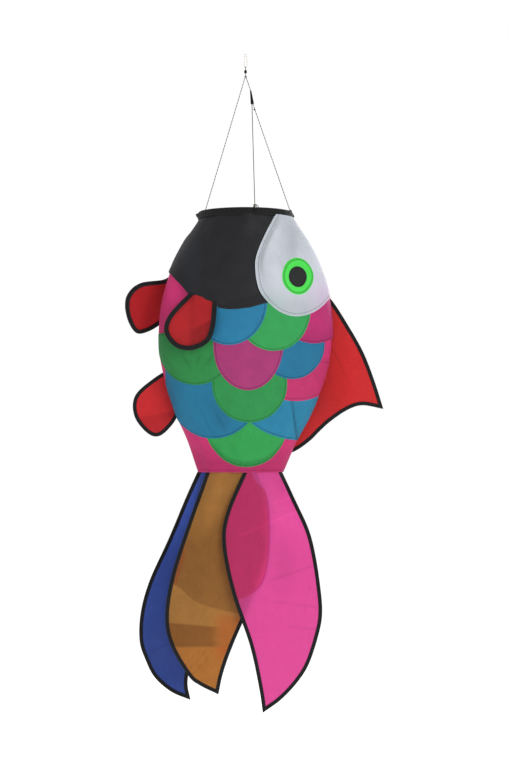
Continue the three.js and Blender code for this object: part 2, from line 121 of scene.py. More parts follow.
def relief(turn, drop, side):
    """How far the cloth stands off the smooth body: soft folds, dents and the pinched seams."""
    away = np.sin(turn)
    folds = 0.9 * np.sin(9 * turn + 1.1 * side + drop / 90) * np.exp(-drop / 60)
    folds = folds + 0.8 * np.sin(7.3 * turn - drop / 75 + 2 + side) * step(drop, 60, 200)
    folds = folds + 1.3 * np.sin(10 * turn + 0.8 * side) * step(drop, 270, 420)
    folds = folds + 0.5 * np.sin(15 * turn + drop / 31 + side) * np.sin(drop / 47 + 3 * turn)
    along = turn * AROUND
    for k in range(7):  # small crumples that cross one another
        way = 2.4 * k + 0.7 * side
        wave = 26 + 7 * k
        folds = folds + (0.16 + 0.03 * k) * np.sin(
            (along * math.cos(way) + drop * math.sin(way)) * 2 * np.pi / wave + 1.9 * k * k)
    seam = np.minimum(turn, np.pi - turn) * smooth(HALF_DEPTH, drop)
    return folds * away**0.7 - 1.1 * ridge(seam, 3.5)


def on_body(turn, drop, side, off):
    """Points on the body's cloth, off millimetres outside the CAD's inner surface."""
    off = off + relief(turn, drop, side)
    return np.stack([
        smooth(MIDDLE, drop) - (smooth(HALF_WIDTH, drop) + off) * np.cos(turn),
        side * np.maximum(smooth(HALF_DEPTH, drop) + off, 1) * np.sin(turn),
        -HANG_TO_HOOP - drop,
    ], -1)


def turn_at(x, drop, off=0):
    inside_x = (smooth(MIDDLE, drop) - x) / (smooth(HALF_WIDTH, drop) + off)
    return np.arccos(np.clip(inside_x, -1, 1))


def curve(points, count):
    """A Catmull-Rom line through the points."""
    p = np.array(points, float)
    p = np.vstack([2 * p[0] - p[1], p, 2 * p[-1] - p[-2]])
    place = np.linspace(0, len(p) - 3 - 1e-9, count + 1)
    i = place.astype(int)
    t = (place - i)[:, None]
    a, b, c, d = p[i], p[i + 1], p[i + 2], p[i + 3]
    return 0.5 * (2 * b + (c - a) * t + (2 * a - 5 * b + 4 * c - d) * t**2
                  + (3 * b - a - 3 * c + d) * t**3)


def resample(points, gap, closed=False):
    """Points about a gap apart along a line. Sharp corners stay where they are."""
    p = np.array(points, float)
    if closed:
        p = np.vstack([p, p[:1]])
    p = p[np.r_[True, np.linalg.norm(np.diff(p, axis=0), axis=1) > 1e-6]]
    way = np.diff(p, axis=0)
    way = way / np.linalg.norm(way, axis=1)[:, None]
    bend = (way[1:] * way[:-1]).sum(1) < math.cos(math.radians(24))
    corners = [0, *(np.nonzero(bend)[0] + 1), len(p) - 1]
    made = []
    for a, b in zip(corners[:-1], corners[1:]):
        run = p[a:b + 1]
        along = np.r_[0, np.cumsum(np.linalg.norm(np.diff(run, axis=0), axis=1))]
        places = np.linspace(0, along[-1], max(int(round(along[-1] / gap)), 1) + 1)[:-1]
        made.append(np.stack([np.interp(places, along, run[:, k]) for k in range(p.shape[1])], 1))
    if not closed:
        made.append(p[-1:])
    return np.vstack(made)


def inside(points, polygon):
    x, y = points[:, 0, None], points[:, 1, None]
    ax, ay = polygon.T
    bx, by = np.roll(ax, -1), np.roll(ay, -1)
    crosses = (ay > y) != (by > y)
    rise = np.where(by == ay, 1, by - ay)
    return (crosses & (x < ax + (y - ay) / rise * (bx - ax))).sum(1) % 2 == 1


def to_line(points, starts, ends):
    """Distance from each point to the nearest segment, and how far along the line that is."""
    way = ends - starts
    length = np.maximum(np.linalg.norm(way, axis=1), 1e-9)
    before = np.r_[0, np.cumsum(length)[:-1]]
    best = np.full(len(points), 1e9)
    run = np.zeros(len(points))
    for k in range(len(starts)):
        t = np.clip(((points - starts[k]) @ way[k]) / length[k] ** 2, 0, 1)
        far = np.linalg.norm(points - starts[k] - t[:, None] * way[k], axis=1)
        nearer = far < best
        best = np.where(nearer, far, best)
        run = np.where(nearer, before[k] + t * length[k], run)
    return best, run


def segments(points, closed=True):
    ends = np.roll(points, -1, axis=0) if closed else points[1:]
    return points if closed else points[:-1], ends


def inset(points, amount):
    """A closed outline moved inwards."""
    x, y = points.T
    turned = np.sign((x * np.roll(y, -1) - np.roll(x, -1) * y).sum())
    before = points - np.roll(points, 1, axis=0)
    after = np.roll(points, -1, axis=0) - points
    sides = []
    for way in (before, after):
        way = way / np.maximum(np.linalg.norm(way, axis=1), 1e-9)[:, None]
        sides.append(np.stack([-way[:, 1], way[:, 0]], 1))
    total = sides[0] + sides[1]
    moved = points + total * (2 * turned * amount
                              / np.maximum((total**2).sum(1), 0.35))[:, None]
    far, _ = to_line(moved, *segments(points))
    return moved[far > amount * 0.97]


def triangulate(lines, keep, cell):
    """Fills the region where keep(points) holds with even triangles that follow the lines."""
    edge_points = np.vstack([line for line, _ in lines])
    low, high = edge_points.min(0), edge_points.max(0)
    columns = np.arange(low[0], high[0] + cell, cell)
    rows = np.arange(low[1], high[1] + cell, cell * 0.87)
    grid = np.array([(x + (k % 2) * cell / 2, y) for k, y in enumerate(rows) for x in columns])
    grid = grid[keep(grid)]
    pairs = [segments(line, closed) for line, closed in lines]
    far, _ = to_line(grid, np.vstack([a for a, _ in pairs]), np.vstack([b for _, b in pairs]))
    grid = grid[far > cell * 0.55]
    edges = []
    first = 0
    for line, closed in lines:
        count = len(line)
        last = count if closed else count - 1
        edges += [(first + k, first + (k + 1) % count) for k in range(last)]
        first += count
    every = [Vector(p) for p in np.vstack([edge_points, grid])]
    points, _, faces, _, _, _ = delaunay_2d_cdt(every, edges, [], 0, 1e-4, False)
    points = np.array([tuple(p) for p in points])
    faces = np.array([f for f in faces if len(f) == 3])
    a, b, c = (points[faces[:, k]] for k in range(3))
    turned = (b[:, 0] - a[:, 0]) * (c[:, 1] - a[:, 1]) - (b[:, 1] - a[:, 1]) * (c[:, 0] - a[:, 0])
    faces[turned < 0] = faces[turned < 0][:, ::-1]
    good = keep((a + b + c) / 3) & (np.abs(turned) > 1e-3)
    faces = faces[good]
    used = np.unique(faces)
    renumber = np.full(len(points), -1)
    renumber[used] = np.arange(len(used))
    return points[used], renumber[faces]


def open_edges(faces):
    """Directed edges that only one face has."""
    directed = np.vstack([faces[:, [0, 1]], faces[:, [1, 2]], faces[:, [2, 0]]])
    known = {(int(a), int(b)) for a, b in directed}
    return np.array([(a, b) for a, b in known if (b, a) not in known])


def used_only(faces, *fields):
    """Faces renumbered to the points they use, then each field's rows for those points."""
    used = np.unique(np.concatenate([np.array(f) for f in faces]))
    renumber = np.full(used.max() + 1, -1)
    renumber[used] = np.arange(len(used))
    return [[tuple(renumber[list(f)]) for f in faces], *(field[used] for field in fields)]


# ---- meshes ----
def make_piece(name, points, faces, material, body, uv=None, fields=None, tint=None,
               sharp=None):
    mesh = bpy.data.meshes.new(name)
    mesh.from_pydata((np.asarray(points) * MM).tolist(), [], [tuple(map(int, f)) for f in faces])
    mesh.update()
    if uv is not None:
        layer = mesh.uv_layers.new(name="cloth")
        corner = np.zeros(len(mesh.loops), np.int32)
        mesh.loops.foreach_get("vertex_index", corner)
        layer.data.foreach_set("uv", (np.asarray(uv)[corner] / 10).astype(np.float32).ravel())
    for key, values in (fields or {}).items():
        mesh.attributes.new(key, "FLOAT", "POINT").data.foreach_set(
            "value", np.asarray(values, np.float32))
    if tint is not None:
        colour = np.ones((len(points), 4), np.float32)
        colour[:, :3] = tint
        mesh.attributes.new("tint", "FLOAT_COLOR", "POINT").data.foreach_set(
            "color", colour.ravel())
    mesh.polygons.foreach_set("use_smooth", np.ones(len(mesh.polygons), bool))
    if sharp:
        mesh.set_sharp_from_angle(angle=math.radians(sharp))
    mesh.materials.append(material)
    obj = bpy.data.objects.new(name, mesh)
    bpy.context.scene.collection.objects.link(obj)
    if body:
        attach(obj, body)
    return obj


def surface_area(obj):
    return sum(polygon.area for polygon in obj.data.polygons)


def flat_size(flat):
    """The sides of the smallest rectangle the flat pattern can be cut from."""
    sizes = []
    for angle in np.radians(np.arange(0, 90, 3)):
        turned = flat @ np.array([[math.cos(angle), -math.sin(angle)],
                                  [math.sin(angle), math.cos(angle)]])
        sizes.append(turned.max(0) - turned.min(0))
    return min(sizes, key=lambda size: size[0] * size[1])


def laid_flat(points):
    """Points of a nearly flat sheet, in its own plane."""
    centred = points - points.mean(0)
    _, _, axes = np.linalg.svd(centred, full_matrices=False)
    return centred @ axes[:2].T


def unrolled(turn, drop, side):
    """Points of the body's cloth laid flat: along the girth from its middle, and down."""
    part = np.linspace(0, 1, 25)
    turns = np.pi / 2 + (turn[:, None] - np.pi / 2) * part
    across = on_body(turns, np.repeat(drop[:, None], len(part), 1), side, 0)
    drops = drop[:, None] * part
    down = on_body(np.full_like(drops, np.pi / 2), drops, side, 0)
    girth, length = (np.linalg.norm(np.diff(line, axis=1), axis=2).sum(1)
                     for line in (across, down))
    return np.stack([np.copysign(girth, turn - np.pi / 2), length], 1)


def declare_sheet(obj, size, with_pieces=()):
    """size is the cut cloth's width and length, in millimetres."""
    tuple(round(side * MM, 4) for side in size)
    round(surface_area(obj), 6)
    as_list(with_pieces)


# ---- materials ----
def srgb(code):
    def channel(value):
        value /= 255
        return value / 12.92 if value <= 0.04045 else ((value + 0.055) / 1.055) ** 2.4
    return tuple(channel(int(code[i:i + 2], 16)) for i in (1, 3, 5)) + (1,)


class Nodes:
    """A short way to lay out the nodes of a material, or of the world."""

    def __init__(self, owner):
        self.owner = owner
        owner.use_nodes = True
        self.tree = owner.node_tree
        self.tree.nodes.clear()

    def add(self, kind, inputs=None, **settings):
        node = self.tree.nodes.new(kind)
        for key, value in settings.items():
            setattr(node, key, value)
        for key, value in (inputs or {}).items():
            self.put(node.inputs[key], value)
        return node

    def put(self, socket, value):
        if isinstance(value, bpy.types.NodeSocket):
            self.tree.links.new(value, socket)
        else:
            socket.default_value = value

    def math(self, operation, a, b=0.0, c=0.0):
        node = self.add("ShaderNodeMath", {0: a, 1: b, 2: c}, operation=operation)
        return node.outputs[0]

    def times(self, a, b, plus=None):
        """a times b, and then plus."""
        if plus is None:
            return self.math("MULTIPLY", a, b)
        return self.math("MULTIPLY_ADD", a, b, plus)

    def within(self, value, middle, half):
        """1 where value is less than half away from middle."""
        away = self.math("ABSOLUTE", self.math("SUBTRACT", value, middle))
        return self.math("LESS_THAN", away, half)

    def stitches(self, place, half, pitch, share):
        """A dashed line at a distance from the cloth's edge."""
        along = self.math("FRACT", self.math("DIVIDE", self.field("run").outputs["Fac"], pitch))
        on_line = self.within(self.field("rim").outputs["Fac"], place, half)
        return self.times(on_line, self.math("LESS_THAN", along, share))

    def remap(self, value, low, high, to_low=0.0, to_high=1.0):
        node = self.add("ShaderNodeMapRange", {"Value": value, "From Min": low, "From Max": high,
                                               "To Min": to_low, "To Max": to_high},
                        interpolation_type="SMOOTHSTEP")
        return node.outputs[0]

    def mix(self, factor, a, b, kind="MIX"):
        node = self.add("ShaderNodeMix", data_type="RGBA", blend_type=kind)
        for key, value in ((0, factor), (6, a), (7, b)):
            self.put(node.inputs[key], value)
        return node.outputs[2]

    def field(self, name):
        return self.add("ShaderNodeAttribute", attribute_name=name)

    def noise(self, where, scale, detail=3.0, rough=0.55):
        node = self.add("ShaderNodeTexNoise", {"Vector": where, "Scale": scale, "Detail": detail,
                                               "Roughness": rough})
        return node.outputs["Fac"]

    def shaded(self, colour, shade):
        """A colour made darker or lighter by a number."""
        grey = self.add("ShaderNodeCombineColor", {0: shade, 1: shade, 2: shade}).outputs[0]
        return self.mix(1.0, colour, grey, "MULTIPLY")

    def finish(self, shader, output="ShaderNodeOutputMaterial"):
        self.put(self.add(output).inputs["Surface"], shader)
        return self.owner


def fabric(name, colour, rough=0.6, through=0.25, clear=0.0, sheen=0.05, vary=0.3,
           hem=0.82, hem_width=5.0, crinkle=0.9, edge=1.15, seam=0.45):
    """Thin woven cloth: ripstop grid, crinkles, a sewn hem at its edges, and light through it."""
    n = Nodes(bpy.data.materials.new(name))
    uv = n.add("ShaderNodeUVMap", uv_map="cloth").outputs[0]
    rim = n.field("rim").outputs["Fac"]
    tint = n.field("tint").outputs["Color"]
    split = n.add("ShaderNodeSeparateXYZ", {0: uv})
    u, v = split.outputs[0], split.outputs[1]

    cloudy = n.noise(uv, 0.55, 4.0)
    fine = n.noise(uv, 9.0, 3.0)
    shade = n.times(n.math("SUBTRACT", cloudy, 0.5), vary,
                   n.times(n.math("SUBTRACT", fine, 0.5), vary * 0.5, 1.0))
    # a heavier thread every 4 mm both ways, and the plain weave between
    threads = []
    for way in (u, v):
        place = n.math("FRACT", n.times(way, 2.5))
        threads.append(n.within(place, 0.5, 0.06))
    grid = n.math("MAXIMUM", threads[0], threads[1])
    weave = n.times(n.math("SINE", n.times(u, 110.0)),
                   n.math("SINE", n.times(v, 110.0)))
    shade = n.times(shade, n.times(grid, 0.05, 1.0))
    shade = n.times(shade, n.times(weave, 0.03, 1.0))
    # long straight creases, in two directions, where the cloth has been folded, with painted shade
    # along them
    lines = []
    for way, stretch, width in ((0.5, 0.3, 0.022), (2.3, 0.45, 0.016)):
        along = n.add("ShaderNodeMapping", {"Vector": uv, "Rotation": (0, 0, way),
                                            "Scale": (1, stretch, 1)}).outputs[0]
        cells = n.add("ShaderNodeTexVoronoi", {"Vector": along, "Scale": 0.42},
                      feature="DISTANCE_TO_EDGE", voronoi_dimensions="2D")
        lines.append(n.remap(cells.outputs["Distance"], width, 0.0))
    crease = n.times(n.math("MAXIMUM", lines[0], lines[1]),
                    n.remap(n.noise(uv, 0.3, 1.0), 0.45, 0.62))
    shade = n.times(shade, n.times(crease, -0.05 * crinkle, 1.0))
    # the turned hem shows darker, its fold catches the light, and a line of stitches holds it
    turned = n.remap(rim, hem_width, hem_width - 0.8)
    shade = n.times(shade, n.times(turned, hem - 1.0, 1.0))
    fold = n.remap(rim, 1.1, 0.5)
    shade = n.times(shade, n.times(fold, edge - hem, 1.0))
    stitch = n.stitches(hem_width - 1.3, 0.35, 2.8, 0.7)
    base = n.shaded(n.mix(1.0, srgb(colour), tint, "MULTIPLY"), shade)
    base = n.mix(stitch, base, n.mix(1.0, base, (seam, seam, seam, 1), "MULTIPLY"))

    creases = n.noise(uv, 1.6, 5.0, 0.62)
    height = n.times(creases, 0.9 * crinkle)
    height = n.times(n.noise(uv, 5.0, 2.0), 0.25 * crinkle, height)
    height = n.times(crease, -0.5 * crinkle, height)
    height = n.times(weave, 0.02, height)
    height = n.times(grid, 0.03, height)
    height = n.times(turned, 0.22, height)
    height = n.times(stitch, -0.25, height)
    near_seam = n.remap(rim, 16.0, 2.0)
    pucker = n.times(near_seam, n.noise(uv, 3.2, 2.0))
    height = n.times(pucker, 0.35, height)
    bump = n.add("ShaderNodeBump", {"Strength": 0.55, "Distance": 0.001, "Height": height})
    gloss = n.remap(n.noise(uv, 2.1, 3.0), 0.3, 0.7, rough - 0.06, rough + 0.08)
    cloth = n.add("ShaderNodeBsdfPrincipled", {
        "Base Color": base, "Roughness": gloss, "Normal": bump.outputs[0],
        "Sheen Weight": sheen, "Sheen Roughness": 0.4, "Specular IOR Level": 0.2})
    shader = cloth.outputs[0]
    if through:
        warm = n.mix(1.0, base, (1.2, 1.2, 1.2, 1), "MULTIPLY")
        behind = n.add("ShaderNodeBsdfTranslucent", {"Color": warm, "Normal": bump.outputs[0]})
        shader = n.add("ShaderNodeMixShader",
                       {0: through, 1: shader, 2: behind.outputs[0]}).outputs[0]
    if clear:
        open_weave = n.add("ShaderNodeBsdfTransparent", {"Color": srgb(colour)})
        shader = n.add("ShaderNodeMixShader", {0: clear, 1: shader,
                                               2: open_weave.outputs[0]}).outputs[0]
    return n.finish(shader)


def tape(name, colour):
    """Matt black binding tape with a fine rib across it and stitches near its inner edge."""
    n = Nodes(bpy.data.materials.new(name))
    uv = n.add("ShaderNodeUVMap", uv_map="cloth").outputs[0]
    rim = n.field("rim").outputs["Fac"]
    run = n.field("run").outputs["Fac"]
    soft = n.noise(uv, 3.0, 4.0)
    ribs = n.math("SINE", n.times(run, 7.0))
    stitch = n.stitches(4.7, 0.3, 2.6, 0.68)
    # a painted highlight along the fold at the tape's outer edge
    fold_highlight = n.remap(rim, 0.9, 0.2)
    light = n.times(soft, 0.5, 0.75)
    light = n.times(ribs, 0.06, light)
    light = n.times(fold_highlight, 0.45, light)
    light = n.times(stitch, 0.9, light)
    base = n.shaded(srgb(colour), light)
    height = n.times(ribs, 0.12, n.times(soft, 0.6))
    height = n.times(stitch, -0.3, height)
    bump = n.add("ShaderNodeBump", {"Strength": 0.5, "Distance": 0.0006, "Height": height})
    gloss = n.remap(soft, 0.3, 0.7, 0.68, 0.85)
    cloth = n.add("ShaderNodeBsdfPrincipled", {
        "Base Color": base, "Roughness": gloss, "Normal": bump.outputs[0],
        "Sheen Weight": 0.08, "Sheen Roughness": 0.5, "Specular IOR Level": 0.15})
    return n.finish(cloth.outputs[0])


def yarn(name, light_colour, dark_colour, light_share=0.5):
    """Twisted cord: the strand field says which of the two threads is on top."""
    n = Nodes(bpy.data.materials.new(name))
    where = n.add("ShaderNodeTexCoord").outputs["Object"]
    strand = n.field("strand").outputs["Fac"]
    along = n.field("run").outputs["Fac"]
    speck = n.noise(where, 900.0, 3.0)
    over = n.remap(n.times(speck, 0.25, strand), light_share, light_share + 0.2)
    base = n.mix(over, srgb(dark_colour), srgb(light_colour))
    base = n.shaded(base, n.times(speck, 0.5, 0.72))
    fibres = n.math("SINE", n.times(along, 26.0))
    height = n.times(fibres, 0.3, speck)
    bump = n.add("ShaderNodeBump", {"Strength": 0.6, "Distance": 0.0002, "Height": height})
    cloth = n.add("ShaderNodeBsdfPrincipled", {
        "Base Color": base, "Normal": bump.outputs[0],
        "Roughness": n.remap(speck, 0.3, 0.7, 0.7, 0.9),
        "Sheen Weight": 0.05, "Specular IOR Level": 0.15})
    return n.finish(cloth.outputs[0])


def metal(name, colour, rough):
    n = Nodes(bpy.data.materials.new(name))
    where = n.add("ShaderNodeTexCoord").outputs["Object"]
    grain = n.noise(where, 1500.0, 4.0)
    blotch = n.noise(where, 260.0, 2.0)
    base = n.mix(n.remap(blotch, 0.35, 0.65), srgb(colour),
                 tuple(c * 1.7 for c in srgb(colour)[:3]) + (1,))
    bump = n.add("ShaderNodeBump", {"Strength": 0.2, "Distance": 0.0001, "Height": grain})
    shader = n.add("ShaderNodeBsdfPrincipled", {
        "Base Color": base, "Metallic": 0.75, "Normal": bump.outputs[0],
        "Roughness": n.remap(grain, 0.3, 0.7, rough - 0.08, rough + 0.12)})
    return n.finish(shader.outputs[0])


CLOTHS = {
    "black": fabric("black_cloth", "#1f1f21", rough=0.6, through=0.01, vary=0.35, hem=0.95,
                    edge=1.1, sheen=0.1),
    "white": fabric("white_cloth", "#dde4ec", rough=0.6, through=0.35, vary=0.06, hem=0.95,
                    hem_width=5.6, edge=1.15, seam=0.3),
    "iris": fabric("iris_cloth", "#50df55", through=0.15, vary=0.1, hem=0.72, hem_width=4.6),
    "pupil": fabric("pupil_cloth", "#212222", rough=0.65, through=0.0, vary=0.3, hem=0.92,
                    hem_width=3.0),
    "pink": fabric("pink_cloth", "#cf3672", through=0.3, hem=0.97),
    "magenta": fabric("magenta_cloth", "#ab3b76", through=0.25, hem=0.86, hem_width=4.0),
    "blue": fabric("blue_cloth", "#2a7ea6", through=0.22, hem=0.84, hem_width=4.0),
    "green": fabric("green_cloth", "#37a356", through=0.22, hem=0.84, hem_width=4.0),
    "red": fabric("red_cloth", "#b82529", through=0.3, hem=1.0, edge=1.0, vary=0.2),
    "tail_blue": fabric("tail_blue_cloth", "#35458f", rough=0.45, through=0.25, hem=1.0, edge=1.0),
    "tail_orange": fabric("tail_orange_cloth", "#9b6a31", rough=0.42, through=0.25, hem=1.0,
                          edge=1.0, crinkle=1.3),
    "tail_pink": fabric("tail_pink_cloth", "#cd458a", rough=0.5, through=0.38, clear=0.03,
                        hem=1.0, edge=1.0, vary=0.16),
}
TAPE = tape("binding_tape", "#161617")
CORD = yarn("bridle_yarn", "#b4b2ae", "#151516", light_share=0.62)
DARK_CORD = yarn("front_bridle_yarn", "#6c6b6a", "#0f0f10", light_share=0.68)
BLACK_YARN = yarn("black_yarn", "#1c1c1d", "#0a0a0b")
LOOP_YARN = yarn("loop_yarn", "#efe8dc", "#c4b8a4")
SWIVEL_METAL = metal("swivel_metal", "#0c0c0d", 0.45)
HOOP_METAL = metal("hoop_metal", "#8d8d90", 0.35)


# ---- camera: level with the lower body, so that the hoop is seen from a little below ----
CAMERA_PLACE = Vector((0.0155, -3.1, -0.607))
CAMERA_AIM = Vector((0.0155, 0, -0.5388))
VIEW_HEIGHT = 1.247  # metres of the object's plane that the picture is high

camera = bpy.data.objects.new("camera", bpy.data.cameras.new("camera"))
bpy.context.scene.collection.objects.link(camera)
bpy.context.scene.camera = camera
camera.location = CAMERA_PLACE
aim = CAMERA_AIM - CAMERA_PLACE
camera.rotation_mode = "QUATERNION"
camera.rotation_quaternion = aim.to_track_quat("-Z", "Y")
camera.data.lens = camera.data.sensor_width * aim.length / VIEW_HEIGHT
camera.data.clip_end = 60


# ---- cords, knots and swivel ----
def tube(path, radius, sides, closed=False, ripple=None):
    """Points and faces of a tube. ripple(turn, along) scales the radius."""
    path = np.asarray(path, float)
    way = (np.roll(path, -1, 0) - np.roll(path, 1, 0)) if closed else np.gradient(path, axis=0)
    way = way / np.linalg.norm(way, axis=1)[:, None]
    across = np.zeros_like(path)
    seed = np.cross(way[0], (0.3, 1, 0.2))
    for k in range(len(path)):
        seed = seed - (seed @ way[k]) * way[k]
        seed = seed / np.linalg.norm(seed)
        across[k] = seed
    other = np.cross(way, across)
    along = np.r_[0, np.cumsum(np.linalg.norm(np.diff(path, axis=0), axis=1))]
    turns = np.arange(sides) * 2 * np.pi / sides
    size = np.full((len(path), sides), float(radius))
    if ripple is not None:
        size = radius * ripple(turns[None, :], along[:, None])
    points = (path[:, None] + size[..., None]
              * (np.cos(turns)[None, :, None] * across[:, None]
                 + np.sin(turns)[None, :, None] * other[:, None])).reshape(-1, 3)
    faces = []
    rings = len(path) if closed else len(path) - 1
    for k in range(rings):
        a, b = k * sides, ((k + 1) % len(path)) * sides
        faces += [(a + i, a + (i + 1) % sides, b + (i + 1) % sides, b + i) for i in range(sides)]
    if not closed:
        faces.append(tuple(range(sides))[::-1])
        faces.append(tuple((len(path) - 1) * sides + i for i in range(sides)))
    return points, faces, np.repeat(along, sides), np.tile(turns, len(path))


def cord_mesh(name, path, diameter, pitch, material, body, closed=False):
    """A cord of two threads twisted together."""
    path = resample(path, 0.7)
    twist = 2 * np.pi / pitch
    points, faces, along, turn = tube(
        path, diameter / 2, 10, closed,
        lambda t, a: 0.84 + 0.16 * np.abs(np.cos(t - twist * a)) ** 0.7)
    strand = 0.5 + 0.5 * np.sin(turn - twist * along)
    obj = make_piece(name, points, faces, material, body,
                     fields={"strand": strand, "run": along})
    return obj, path


def sagging(start, end, sag):
    """A nearly straight run that hangs a little under its chord."""
    t = np.linspace(0, 1, 30)[:, None]
    line = np.array(start) * (1 - t) + np.array(end) * t
    line[:, 2] -= (4 * sag * t * (1 - t))[:, 0]
    return line


CORD_DIAMETER = 1.3
LOOP_DIAMETER = 0.9
TIES = {"left": (-67.2, 31.0), "front": (15.2, -72.4), "right": (73.0, 12.0)}
TIE_HEIGHT = -HANG_TO_HOOP + 7  # the middle of each knot on the hem
CONNECTOR_TOP = np.array([8.4, -5.2, -62.0])
CONNECTOR_BOTTOM = np.array([11.2, -7.4, -84.8])
UNDER_SWIVEL = np.array([0.0, 0.0, -39.1])

legs = {
    "bridle_left": (UNDER_SWIVEL + (-0.7, 0, 0), (*TIES["left"], TIE_HEIGHT + 1.2)),
    "bridle_front": (CONNECTOR_BOTTOM + (-0.7, -0.3, 1), (*TIES["front"], TIE_HEIGHT + 1.2)),
    "bridle_right": (CONNECTOR_BOTTOM + (0.7, 0.3, 1), (*TIES["right"], TIE_HEIGHT + 1.2)),
}
for name, (start, end) in legs.items():
    line = sagging(start, end, 0.4)
    if name == "bridle_right":  # this leg runs up through the connector to the swivel
        line = np.vstack([sagging(UNDER_SWIVEL + (0.7, -0.3, 0), CONNECTOR_TOP, 0.1), line])
    cord, path = cord_mesh(name + "_cord", line, CORD_DIAMETER, 5.2,
                           DARK_CORD if name == "bridle_front" else CORD, "fish")
    length = np.linalg.norm(np.diff(path, axis=0), axis=1).sum()
    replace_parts(cord, *([name, "bridle_top"] if name == "bridle_right" else [name]))


def knot_path(centre, size, tilt):
    """A trefoil knot, drawn closed."""
    t = np.linspace(0, 2 * np.pi, 90, endpoint=False)
    ring = 2 + np.cos(3 * t)
    path = np.stack([ring * np.cos(2 * t), ring * np.sin(2 * t), 1.6 * np.sin(3 * t)], 1)
    turn = np.array([[1, 0, 0], [0, math.cos(tilt), -math.sin(tilt)],
                     [0, math.sin(tilt), math.cos(tilt)]])
    return (path / 3 * size) @ turn.T + np.array(centre)


def yarn_piece(name, parts, material, body):
    """Several closed or open tubes as one piece. parts are (path, radius, closed)."""
    points, faces, strand, run = [], [], [], []
    for path, radius, closed in parts:
        p, f, along, turn = tube(path, radius, 10, closed)
        first = sum(len(x) for x in points)
        faces += [tuple(i + first for i in face) for face in f]
        points.append(p)
        strand.append(0.5 + 0.5 * np.sign(np.sin(2 * turn - along * 2.4)))
        run.append(along)
    return make_piece(name, np.vstack(points), faces, material, body,
                      fields={"strand": np.concatenate(strand), "run": np.concatenate(run)})


# the knot under the swivel's eye, and one at the lower end of each leg
yarn_piece("bridle_head_knot", [(knot_path(UNDER_SWIVEL + (0, 0, 0.6), 1.5, tilt=0.5), 0.62, True)],
           CORD, "fish")

for name, (x, y) in TIES.items():
    angle = math.atan2(y, x)
    outward = np.array([math.cos(angle), math.sin(angle), 0])
    sideways = np.array([-math.sin(angle), math.cos(angle), 0])
    heart = outward * HOOP_RADIUS + (0, 0, -HANG_TO_HOOP + 0.6)
    parts = []
    for shift in (-1.5, 0.0, 1.5):  # cord wound round the hem
        t = np.linspace(0, 2 * np.pi, 40, endpoint=False)[:, None]
        lean = shift + 0.35 * np.sin(t)
        parts.append((heart + 4.4 * np.cos(t) * outward + (5.3 * np.sin(t) - 0.7) * (0, 0, 1)
                      + lean * sideways, 0.68, True))
    knot = knot_path((x, y, TIE_HEIGHT), 2.2, tilt=0.9)
    parts.append((knot, 0.85, True))
    end = np.array([x, y, TIE_HEIGHT]) + 1.2 * sideways
    tail = np.array([end, end + 2.2 * sideways + (0, 0, 1.2), end + 4.0 * sideways + (0, 0, -0.6),
                     end + 4.8 * sideways + (0, 0, -3.2)])
    parts.append((curve(tail, 12), 0.5, False))
    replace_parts(yarn_piece(f"tie_{name}_knot", parts, BLACK_YARN, "fish"),
                f"bridle_tie_{name}")

knot_at = CONNECTOR_BOTTOM + 0.05 * (np.array([*TIES["right"], TIE_HEIGHT]) - CONNECTOR_BOTTOM)
yarn_piece("bridle_right_knot", [(knot_path(knot_at, 1.15, tilt=0.8), 0.5, True)], BLACK_YARN,
           "fish")

# the pale end of thread at the front tie
front_x, front_y = TIES["front"]
thread = np.array([(0, -1.8, 1.5), (0.6, -3, 0), (1, -3.4, -3), (0.7, -4, -6)])
thread = thread + (front_x, front_y, TIE_HEIGHT)
yarn_piece("tie_front_thread", [(curve(thread, 14), 0.55, False)], LOOP_YARN, "fish")

# the wedge where the cord divides, bound with black thread
axis = CONNECTOR_BOTTOM - CONNECTOR_TOP
length = np.linalg.norm(axis)
t = np.linspace(0, 1, 150)
wedge = CONNECTOR_TOP + t[:, None] * axis
swell = 1.25 + 1.6 * t**1.3
swell = swell * np.clip(np.minimum(t / 0.03, (1 - t) / 0.03), 0.25, 1) ** 0.5
points, faces, along, turn = tube(
    wedge, 1.0, 20, False,
    lambda a, l: np.interp(l, t * length, swell) * (1 + 0.05 * np.sin(2 * np.pi * l / 0.9 + a)))
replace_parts(make_piece("connector_binding", points, faces, BLACK_YARN, "fish",
                       fields={"strand": 0.5 + 0.5 * np.sin(2 * np.pi * along / 0.9 + turn),
                               "run": along}), "bridle_connector")


def lathe(profile, count, centre=(0, 0, 0)):
    profile = np.array(profile, float)
    turns = np.arange(count) * 2 * np.pi / count
    points = np.stack([np.outer(np.cos(turns), profile[:, 0]),
                       np.outer(np.sin(turns), profile[:, 0]),
                       np.tile(profile[:, 1], (count, 1))], -1).reshape(-1, 3) + np.array(centre)
    size = len(profile)
    faces = []
    for k in range(count):
        a, b = k * size, ((k + 1) % count) * size
        faces += [(a + i, b + i, b + i + 1, a + i + 1) for i in range(size - 1)]
    return points, faces


